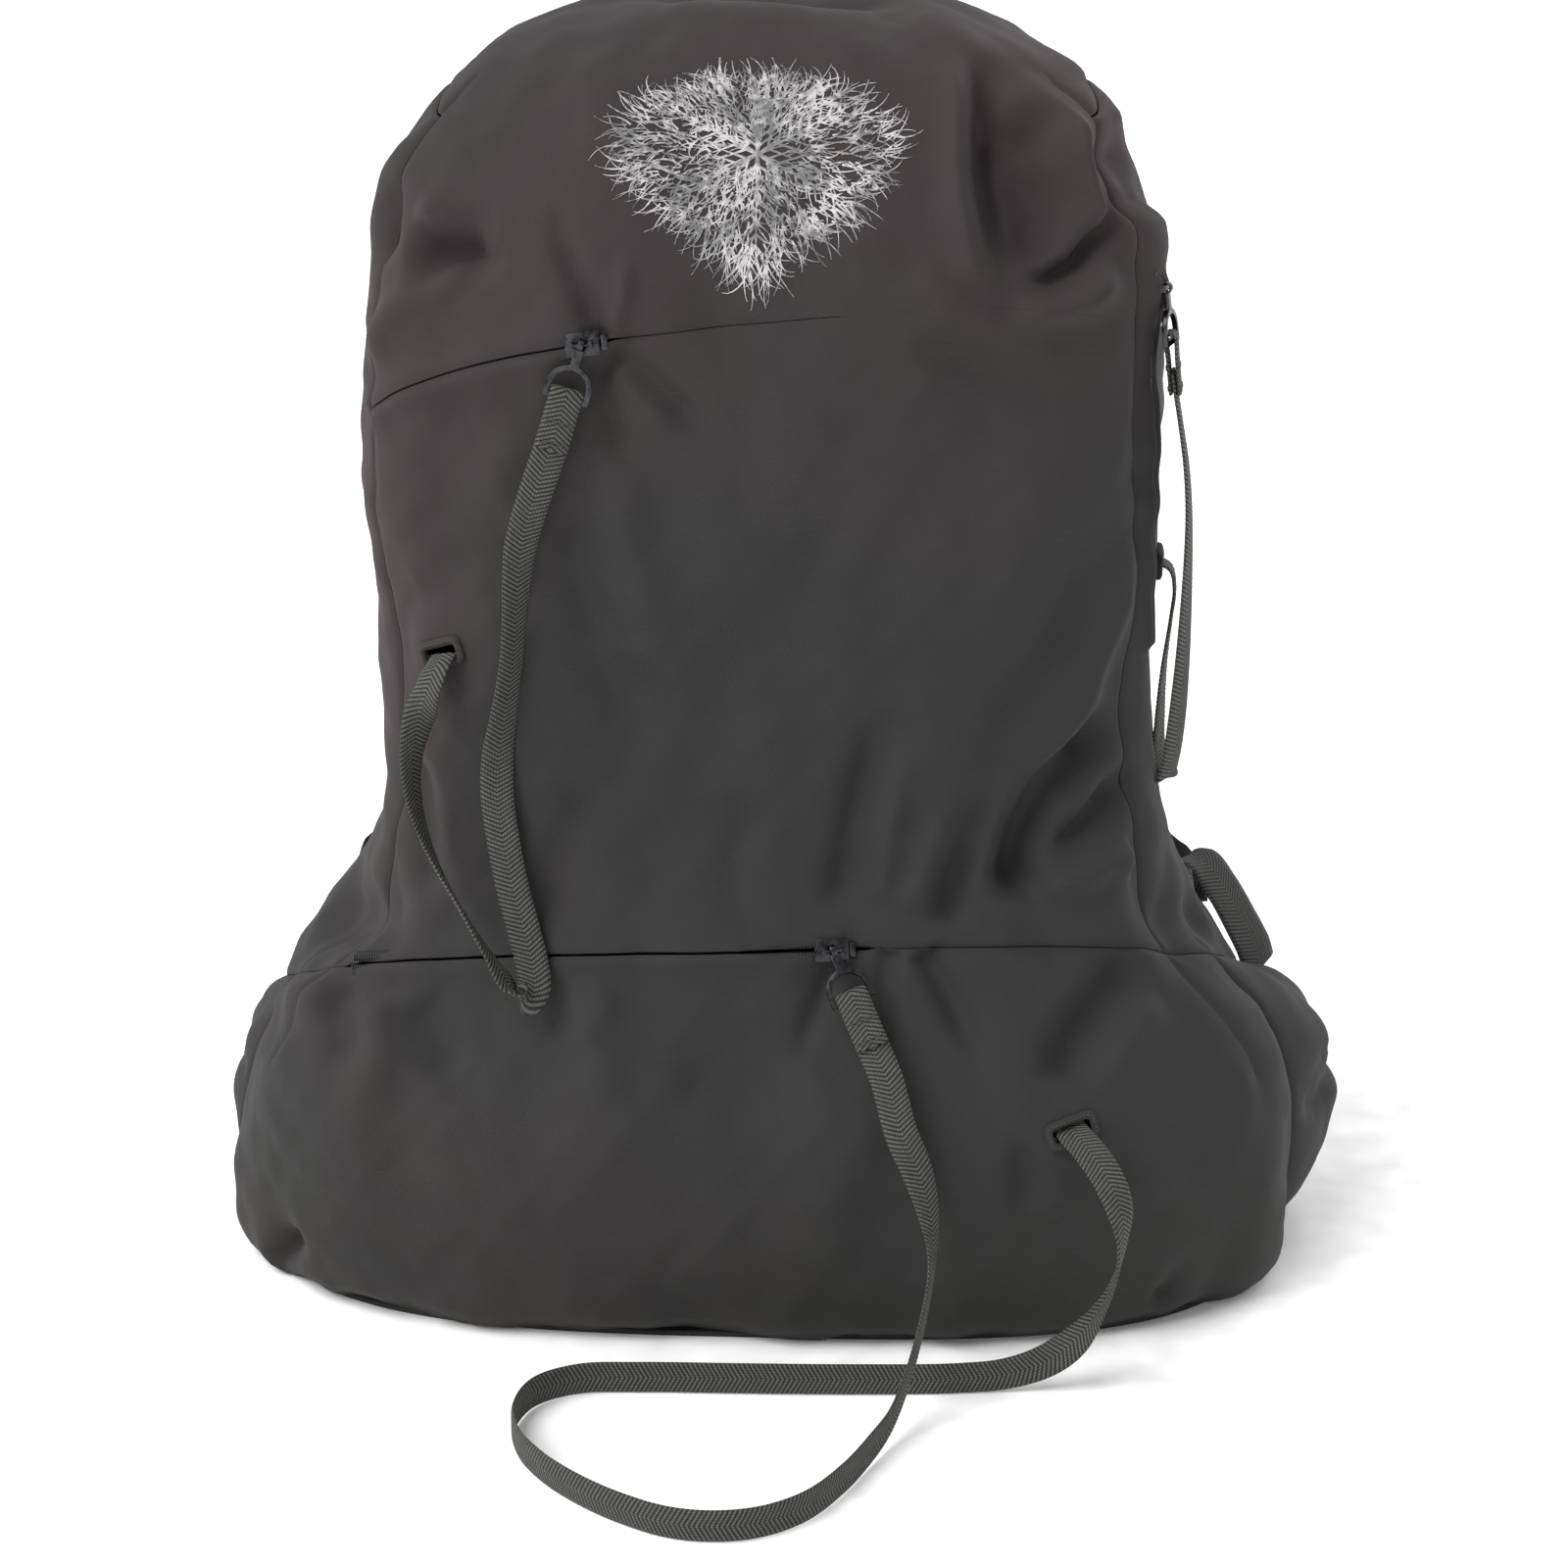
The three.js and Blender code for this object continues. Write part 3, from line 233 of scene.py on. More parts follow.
def plated_metal(name, base):
    """Gunmetal plating with handling marks, brighter where it is rubbed."""
    f = Finish(name, base, 0.26, metallic=1.0)
    spot = f.place()
    smear = f.noise(spot, 420, 4, 0.65)
    f.link(f.mix(f.spread(smear, 0.35, 0.75), base, tuple(2.4 * c for c in base)), "Base Color")
    f.link(f.spread(smear, 0.3, 0.7, 0.18, 0.42), "Roughness")
    f.bump(f.noise(spot, 1500, 2), 0.15, 0.00008)
    return f.material


def spacer_mesh(name, base):
    """Air mesh over foam: a honeycomb of small holes, darkened with painted shade."""
    f = Finish(name, base, 0.9, sheen=0.05, gloss=0.2)
    cells = f.node("ShaderNodeTexVoronoi", {"Vector": f.place(), "Scale": 420.0, "Randomness": 0.25})
    hole = f.spread(cells.outputs["Distance"], 0.16, 0.46)
    f.link(f.mix(hole, tuple(0.25 * c for c in base), base), "Base Color")
    f.bump(hole, 0.7, 0.0006)
    return f.material


def moulded_plastic(name, base, rough):
    f = Finish(name, base, rough)
    spot = f.place()
    grain = f.noise(spot, 1300, 3)
    f.link(f.spread(grain, 0.3, 0.7, rough - 0.08, rough + 0.12), "Roughness")
    f.link(f.mix(f.noise(spot, 70, 3), base, tuple(1.5 * c for c in base)), "Base Color")
    f.bump(grain, 0.2, 0.00015)
    return f.material


def rubbed_ink(name, light, dark):
    """Pale printed ink, uneven where the cloth's weave shows through."""
    f = Finish(name, light, 0.6, gloss=0.2)
    spot = f.place()
    blot = f.maths("MULTIPLY", f.noise(spot, 60, 3), f.noise(spot, 420, 2))
    f.link(f.mix(f.spread(blot, 0.17, 0.34), dark, light), "Base Color")
    f.bump(f.noise(spot, 900, 2), 0.2, 0.00008)
    return f.material


def coarse_cloth(name, base):
    """Coated base and lining cloth with a coarse square weave."""
    f = Finish(name, base, 0.7, gloss=0.2)
    spot = f.place()
    weave = f.maths("MULTIPLY", f.wave(spot, 300), f.wave(spot, 300, "Y"))
    f.link(f.mix(f.noise(spot, 40, 4), base, tuple(1.8 * c for c in base)), "Base Color")
    f.bump(weave, 0.5, 0.0003)
    return f.material


CLOTH = shell_cloth("outer_cloth", (0.0275, 0.0275, 0.027), (0.046, 0.033, 0.035), (0.024, 0.025, 0.018))
CORD_WEBBING = ribbed_webbing("pull_webbing", (0.135, 0.134, 0.124), (0.009, 0.009, 0.008))
BLACK_WEBBING = ribbed_webbing("strap_webbing", (0.075, 0.075, 0.070), (0.008, 0.008, 0.008))
METAL = plated_metal("gunmetal", (0.032, 0.032, 0.035))
AIR_MESH = spacer_mesh("air_mesh", (0.030, 0.030, 0.030))
PLASTIC = moulded_plastic("buckle_plastic", (0.013, 0.013, 0.013), 0.45)
BOARD = moulded_plastic("stiffener_board", (0.03, 0.03, 0.03), 0.6)
LINING = coarse_cloth("base_cloth", (0.022, 0.022, 0.021))
TAPE = coarse_cloth("zip_tape", (0.012, 0.012, 0.012))
COIL = moulded_plastic("zip_coil", (0.014, 0.014, 0.014), 0.4)
THREAD = moulded_plastic("thread", (0.045, 0.045, 0.042), 0.6)
PRINT = rubbed_ink("frost_print", (0.56, 0.54, 0.55), (0.17, 0.17, 0.17))

# ---------------------------------------------------------------- meshes


def mesh_piece(name, points, faces, material, smooth=True, uv=None, weld=0.0):
    """A mesh object from points in millimetres. uv gives each point's (u, v)."""
    data = bpy.data.meshes.new(name)
    data.from_pydata([tuple(p) for p in np.asarray(points, float) * MM], [], [tuple(f) for f in faces])
    if uv is not None:
        layer = data.uv_layers.new(name="along")
        corners = np.zeros(len(data.loops), np.int32)
        data.loops.foreach_get("vertex_index", corners)
        layer.data.foreach_set("uv", np.asarray(uv, np.float32)[corners].ravel())
    if weld:
        made = bmesh.new()
        made.from_mesh(data)
        bmesh.ops.remove_doubles(made, verts=made.verts, dist=weld * MM)
        bmesh.ops.dissolve_degenerate(made, edges=made.edges, dist=1e-7)
        made.to_mesh(data)
        made.free()
    data.materials.append(material)
    data.polygons.foreach_set("use_smooth", [smooth] * len(data.polygons))
    data.validate()
    obj = bpy.data.objects.new(name, data)
    bpy.context.scene.collection.objects.link(obj)
    return obj


def unit(v):
    return v / np.maximum(np.linalg.norm(v, axis=-1, keepdims=True), 1e-12)


def curve_line(points, step):
    """A smooth line through rows of numbers, the first three a place in mm, at even steps."""
    p = np.asarray(points, float)
    p = np.vstack([2 * p[0] - p[1], p, 2 * p[-1] - p[-2]])
    rows = []
    for a, b, c, d in zip(p, p[1:], p[2:], p[3:]):
        ta, tb, tc = (max(math.sqrt(np.linalg.norm((y - x)[:3])), 1e-6) for x, y in ((a, b), (b, c), (c, d)))
        start = ((b - a) / ta - (c - a) / (ta + tb) + (c - b) / tb) * tb
        end = ((c - b) / tb - (d - b) / (tb + tc) + (d - c) / tc) * tb
        for t in np.linspace(0, 1, 24, endpoint=False):
            rows.append((2 * t ** 3 - 3 * t ** 2 + 1) * b + (t ** 3 - 2 * t ** 2 + t) * start
                        + (3 * t ** 2 - 2 * t ** 3) * c + (t ** 3 - t ** 2) * end)
    rows = np.array(rows + [p[-2]])
    far = np.concatenate([[0], np.cumsum(np.linalg.norm(np.diff(rows[:, :3], axis=0), axis=1))])
    count = max(2, int(round(far[-1] / step)) + 1)
    at = np.linspace(0, far[-1], count)
    return np.stack([np.interp(at, far, rows[:, k]) for k in range(rows.shape[1])], axis=1), at


def frames(line, across):
    """The tangent, the width direction and the face direction at each point of a line."""
    tangent = unit(np.gradient(line, axis=0))
    across = unit(across - (across * tangent).sum(1, keepdims=True) * tangent)
    return tangent, across, np.cross(tangent, across)


def strip(name, line, across, at, width, thickness, material, profile=None, weld=0.0):
    """A flat band along a line. profile(u, v) is an extra lift of its faces, in mm."""
    _, side, face = frames(line, across)
    columns = 9
    v = np.linspace(-1, 1, columns)
    edge = np.sqrt(np.clip(1 - np.abs(v) ** 6, 0, 1)) * 0.85 + 0.15
    top, low, uv_top = [], [], []
    lift = profile(at[:, None], v[None, :] * width / 2) if profile else np.zeros((len(at), columns))
    for k in range(columns):
        base = line + side * (v[k] * width / 2)
        half = (thickness / 2 * edge[k] + lift[:, k] * edge[k])[:, None]
        top.append(base + face * half)
        low.append(base - face * half)
        uv_top.append(np.stack([at, np.full(len(at), v[k] * width / 2)], axis=1))
    rings = np.stack(top + low[::-1], axis=1)
    uv = np.stack(uv_top + uv_top[::-1], axis=1)
    n, m = rings.shape[:2]
    index = np.arange(n * m).reshape(n, m)
    faces = []
    for k in range(m):
        j = (k + 1) % m
        faces += np.stack([index[:-1, k], index[1:, k], index[1:, j], index[:-1, j]], axis=1).tolist()
    faces += [index[0, ::1].tolist(), index[-1, ::-1].tolist()]
    return mesh_piece(name, rings.reshape(-1, 3), faces, material, uv=uv.reshape(-1, 2), weld=weld)


def yarns(u, v):
    """The woven crowns of the webbing, which lean in from both edges."""
    phase = (u + 0.55 * np.abs(v)) * 2 * math.pi / 1.7
    return -0.16 * (0.5 - 0.5 * np.sin(phase)) ** 2


# ---------------------------------------------------------------- the long webbing pulls

WEBBING_WIDTH = 12.0
WEBBING_THICKNESS = 1.5
PULL_ROUTES = {
    "upper": [
        (-71.6, -83.2, 331.8, 1, 0.05, -0.3), (-75.4, -83.4, 321, 1, 0.1, -0.3),
        (-79.6, -82.6, 308.5, 1, 0.15, -0.2), (-83.2, -81.6, 295, 0.9, 0.35, 0.1),
        (-84.8, -82.2, 281, 0.75, 0.6, 0.1), (-86, -82.4, 266.5, 0.62, 0.75, 0.1),
        (-87.2, -82.4, 253.5, 0.62, 0.75, 0.1), (-90.4, -81.8, 233.5, 0.7, 0.6, 0.1),
        (-93, -81.6, 218, 0.85, 0.4, 0.05), (-93.6, -82.2, 203, 1, 0.1, -0.1),
        (-91.9, -84.2, 188.5, 1, 0, -0.15), (-88.2, -88.6, 170, 1, 0, -0.25),
        (-84, -93.6, 156, 1, 0, -0.3), (-80.4, -99, 144, 1, 0, -0.35),
        (-79.2, -103.4, 136.4, 1, 0.02, -0.4), (-81.4, -106.6, 132.8, 0.9, 0.1, -0.55),
        (-86.4, -106, 135.4, 0.75, 0.1, -0.7), (-94.5, -101.6, 145.5, 0.6, 0.15, -0.8),
        (-104, -94.4, 158, 0.45, 0.2, -0.85), (-113.4, -86.2, 170.6, 0.35, 0.35, -0.8),
        (-120.6, -78.4, 182.6, 0.25, 0.7, -0.5), (-125, -73.6, 196, 0.3, 0.9, -0.1),
        (-126, -72.4, 209.5, 0.5, 0.8, 0), (-123.6, -73.4, 224, 0.8, 0.5, -0.05),
        (-119.6, -74.6, 237, 0.85, -0.5, 0.2), (-116.2, -72.8, 246, 0.85, -0.5, 0.25),
        (-113.6, -66.4, 250.4, 0.85, -0.5, 0.25),
    ],
    "lower": [
        (43.9, -116.3, 121, 1, 0.2, 0.35), (49, -122.6, 111, 1, 0.2, 0.38),
        (54.4, -129.4, 93.6, 1, 0.2, 0.4), (60.2, -133.6, 81, 0.85, 0.55, 0.35),
        (64.2, -137.4, 68.4, 0.55, 0.85, 0.3), (66, -141.4, 57, 0.25, 1, 0.35),
        (66, -147, 46.6, 0.15, 0.9, -0.45), (64.4, -153.2, 36.8, 0.1, 0.8, -0.6),
        (61.6, -162.4, 26.6, 0.1, 0.72, -0.7), (57.6, -174.6, 16.6, 0.05, 0.45, -0.88),
        (52.6, -188.4, 9.2, 0, 0.2, -1), (46, -204, 6.6, 0, 0, -1), (37, -225, 6.3, 0, 0, -1),
        (25, -244, 6.3, 0, 0, -1), (11, -254.6, 6.3, 0, 0, -1), (-4, -258.4, 6.3, 0, 0, -1),
        (-20, -256.6, 6.3, 0, 0, -1), (-37, -248, 6.3, 0, 0, -1), (-53, -235.6, 6.3, 0, 0, -1),
        (-67, -220.4, 6.3, 0, 0, -1), (-77, -203, 6.3, 0, 0, -1), (-80.2, -184, 6.3, 0, 0, -1),
        (-74.6, -166.4, 6.3, 0, 0, -1), (-60, -156.4, 6.3, 0, 0, -1), (-38, -154, 6.3, 0, 0, -1),
        (0, -153.2, 6.3, 0, 0, -1), (40, -152, 6.3, 0, 0, -1), (76, -149.4, 6.3, 0, 0, -1),
        (94, -147, 7.4, 0, -0.1, -1), (108.6, -144.6, 12, 0.1, -0.35, -0.9),
        (119.4, -143, 20.4, 0.1, -0.7, -0.7), (127.6, -142, 32.6, 0, -0.95, -0.3),
        (132.6, -141, 46, -0.15, -1, -0.1), (134.2, -138.8, 58.6, -0.4, -0.9, 0),
        (132.4, -134.4, 69.6, -0.8, -0.55, -0.1), (128, -128.4, 77.8, -0.95, -0.3, -0.25),
        (122.4, -121.6, 83.6, -0.95, -0.2, -0.3), (116.4, -112.4, 87, -0.93, -0.25, -0.28),
        (114.4, -106, 88, -0.93, -0.25, -0.28),
    ],
    "side": [
        (148.8, -33, 342.4, 0.1, 1, 0), (151, -33, 330, 0.1, 1, 0), (153.4, -33, 315, 0.15, 1, 0),
        (154.8, -32.6, 299, 0.2, 1, 0), (155.2, -32, 280, 0.3, 1, 0), (155, -31, 259, 0.45, 1, 0),
        (154.4, -29.4, 237, 0.6, 1, 0), (153.2, -27, 215, 0.75, 1, 0), (151.8, -24, 200, 0.75, 1, 0),
        (150.2, -20.4, 191.8, 0.7, 1, 0), (148.6, -16.6, 191.6, 0.6, 1, 0),
        (147.8, -13, 199, 0.5, 1, 0), (148, -10, 214, 0.35, 1, 0), (149, -8.2, 232, 0.2, 1, 0),
        (151, -7.4, 250, 0.1, 1, 0), (152, -7.2, 262, 0.06, 1, 0), (150.2, -7.2, 269.6, 0.05, 1, 0),
        (145.6, -7.2, 272, 0.05, 1, 0), (140, -7.2, 272.2, 0.05, 1, 0),
    ],
}
# How far along its length each pull's band by the puller ends, and then its band by the slider.
PULL_SHARES = {"upper": (63, 198), "lower": (53, 243), "side": (58, 158)}
TUCKED = 8.0  # length of each pull that is sewn in between the two layers of its end
PULL_STEP = 0.42  # from one row of a pull's mesh to the next


def webbing_pull(name, route):
    """One pull in three bands: by the puller, by the slider, and the rest, which stays."""
    first, second = np.array(route[0], float), np.array(route[1], float)
    tucked = first.copy()
    tucked[:3] += TUCKED * unit(first[:3] - second[:3])
    rows, at = curve_line([tucked, *route], PULL_STEP)
    rows[:, 3:] = unit(rows[:, 3:])
    near, middle = (int(np.searchsorted(at, share)) for share in PULL_SHARES[name])
    bands = []
    for part, (first, last) in {"near": (0, near), "middle": (near, middle), "far": (middle, len(at) - 1)}.items():
        cut = slice(first, last + 1)
        band = strip(f"{name}_webbing_{part}", rows[cut, :3], rows[cut, 3:], at[cut], WEBBING_WIDTH,
                     WEBBING_THICKNESS, CORD_WEBBING, profile=yarns)
        bands.append(band)
    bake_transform(bands[0])
    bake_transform(bands[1])
    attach(bands[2], ROOT)
    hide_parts(name + "_pull_webbing")


for pull, pull_route in PULL_ROUTES.items():
    webbing_pull(pull, pull_route)

# ---------------------------------------------------------------- the stuffed bag's surface

# Height, half width, front and back of the outline where it changes.
STATIONS = np.array([
    (0, 188, 108, 76), (10, 197, 117, 82), (45, 202, 122, 85), (90, 195, 119, 85), (132, 167, 98, 82),
    (165, 150, 88, 80), (205, 143, 83, 80), (310, 147, 81, 80), (385, 142, 74, 79)], float)
SHOULDER = 385.0
DOME_RISE = 95.0
DOME_ROUND = 2.3
DOME_LEAN = 12.0
DOME_RUN = 150.0  # length over the dome, from the shoulders to the top
UPPER_PLANE = (318.5, 0.119, -0.757)
LOWER_PLANE = (106.0, 0.04, -0.45)
FRONT_LEFT, FRONT_RIGHT = -150.0, -30.0
WING_LEFT, WING_RIGHT = -165.0, -15.0
BACK_RIGHT, BACK_LEFT = 37.5, 142.5
CLOTH_THICKNESS = 1.3


def outline(z, key):
    heights, values = STATIONS[:, 0], STATIONS[:, key]
    k = np.clip(np.searchsorted(heights, z, side="left") - 1, 0, len(heights) - 2)
    index = np.arange(len(heights))
    before, after = np.maximum(index - 1, 0), np.minimum(index + 1, len(heights) - 1)
    slope = (values[after] - values[before]) / (heights[after] - heights[before])
    step = heights[k + 1] - heights[k]
    t = (z - heights[k]) / step
    return ((2 * t ** 3 - 3 * t ** 2 + 1) * values[k] + (t ** 3 - 2 * t ** 2 + t) * step * slope[k]
            + (3 * t ** 2 - 2 * t ** 3) * values[k + 1] + (t ** 3 - t ** 2) * step * slope[k + 1])


def height_of(run):
    """The height of a point at this run up the surface: the same below the dome."""
    turn = np.clip((run - SHOULDER) / DOME_RUN, 0, 1) * math.pi / 2
    return np.where(run < SHOULDER, run, SHOULDER + DOME_RISE * np.sin(turn) ** (2 / DOME_ROUND))


def run_of(z):
    climb = np.clip((z - SHOULDER) / DOME_RISE, 0, 1)
    return np.where(z < SHOULDER, z, SHOULDER + DOME_RUN * np.arcsin(climb ** (DOME_ROUND / 2)) * 2 / math.pi)


def skin(phi, run):
    """The smooth surface in direction phi, degrees from +X towards +Y, at this run up it."""
    z = height_of(run)
    climb = np.clip((z - SHOULDER) / DOME_RISE, 0, 1)
    shrink = np.clip(1 - climb ** DOME_ROUND, 0, 1) ** (1 / DOME_ROUND)
    low = np.minimum(z, SHOULDER)
    c, s = np.cos(np.radians(phi)), np.sin(np.radians(phi))
    reach = (np.abs(c) ** 3 + np.abs(s) ** 3) ** (-1 / 3) * shrink
    depth = np.where(s < 0, outline(low, 2), outline(low, 3))
    return np.stack([outline(low, 1) * reach * c, depth * reach * s + DOME_LEAN * climb, z], axis=-1)


def skin_normal(phi, run):
    high = np.minimum(run + 1, SHOULDER + DOME_RUN - 1)
    around = skin(phi + 1, high) - skin(phi - 1, high)
    up = skin(phi, high + 1) - skin(phi, high - 1)
    return unit(np.cross(around, up))


def seam_height(phi, plane):
    """Where the surface meets a seam's tilted plane."""
    phi = np.asarray(phi, float)
    z = np.full(phi.shape, float(plane[0]))
    for _ in range(60):
        p = skin(phi, run_of(z))
        z = z + 0.5 * (plane[0] + plane[1] * p[..., 0] + plane[2] * p[..., 1] - z)
    return z


def smooth(value, low, high):
    t = np.clip((value - low) / (high - low), 0, 1)
    return t * t * (3 - 2 * t)


def near_line(points, line):
    """Distance from each point to a chain of points, and how far along it, from 0 to 1."""
    line = np.asarray(line, float)
    lengths = np.linalg.norm(np.diff(line, axis=0), axis=1)
    total = lengths.sum()
    best = np.full(len(points), 1e9)
    where = np.zeros(len(points))
    done = 0.0
    for a, b, long in zip(line, line[1:], lengths):
        t = np.clip((points - a) @ (b - a) / long ** 2, 0, 1)
        far = np.linalg.norm(points - (a + t[:, None] * (b - a)), axis=1)
        closer = far < best
        best[closer] = far[closer]
        where[closer] = ((done + t * long) / total)[closer]
        done += long
    return best, where


# ---------------------------------------------------------------- folds in the cloth

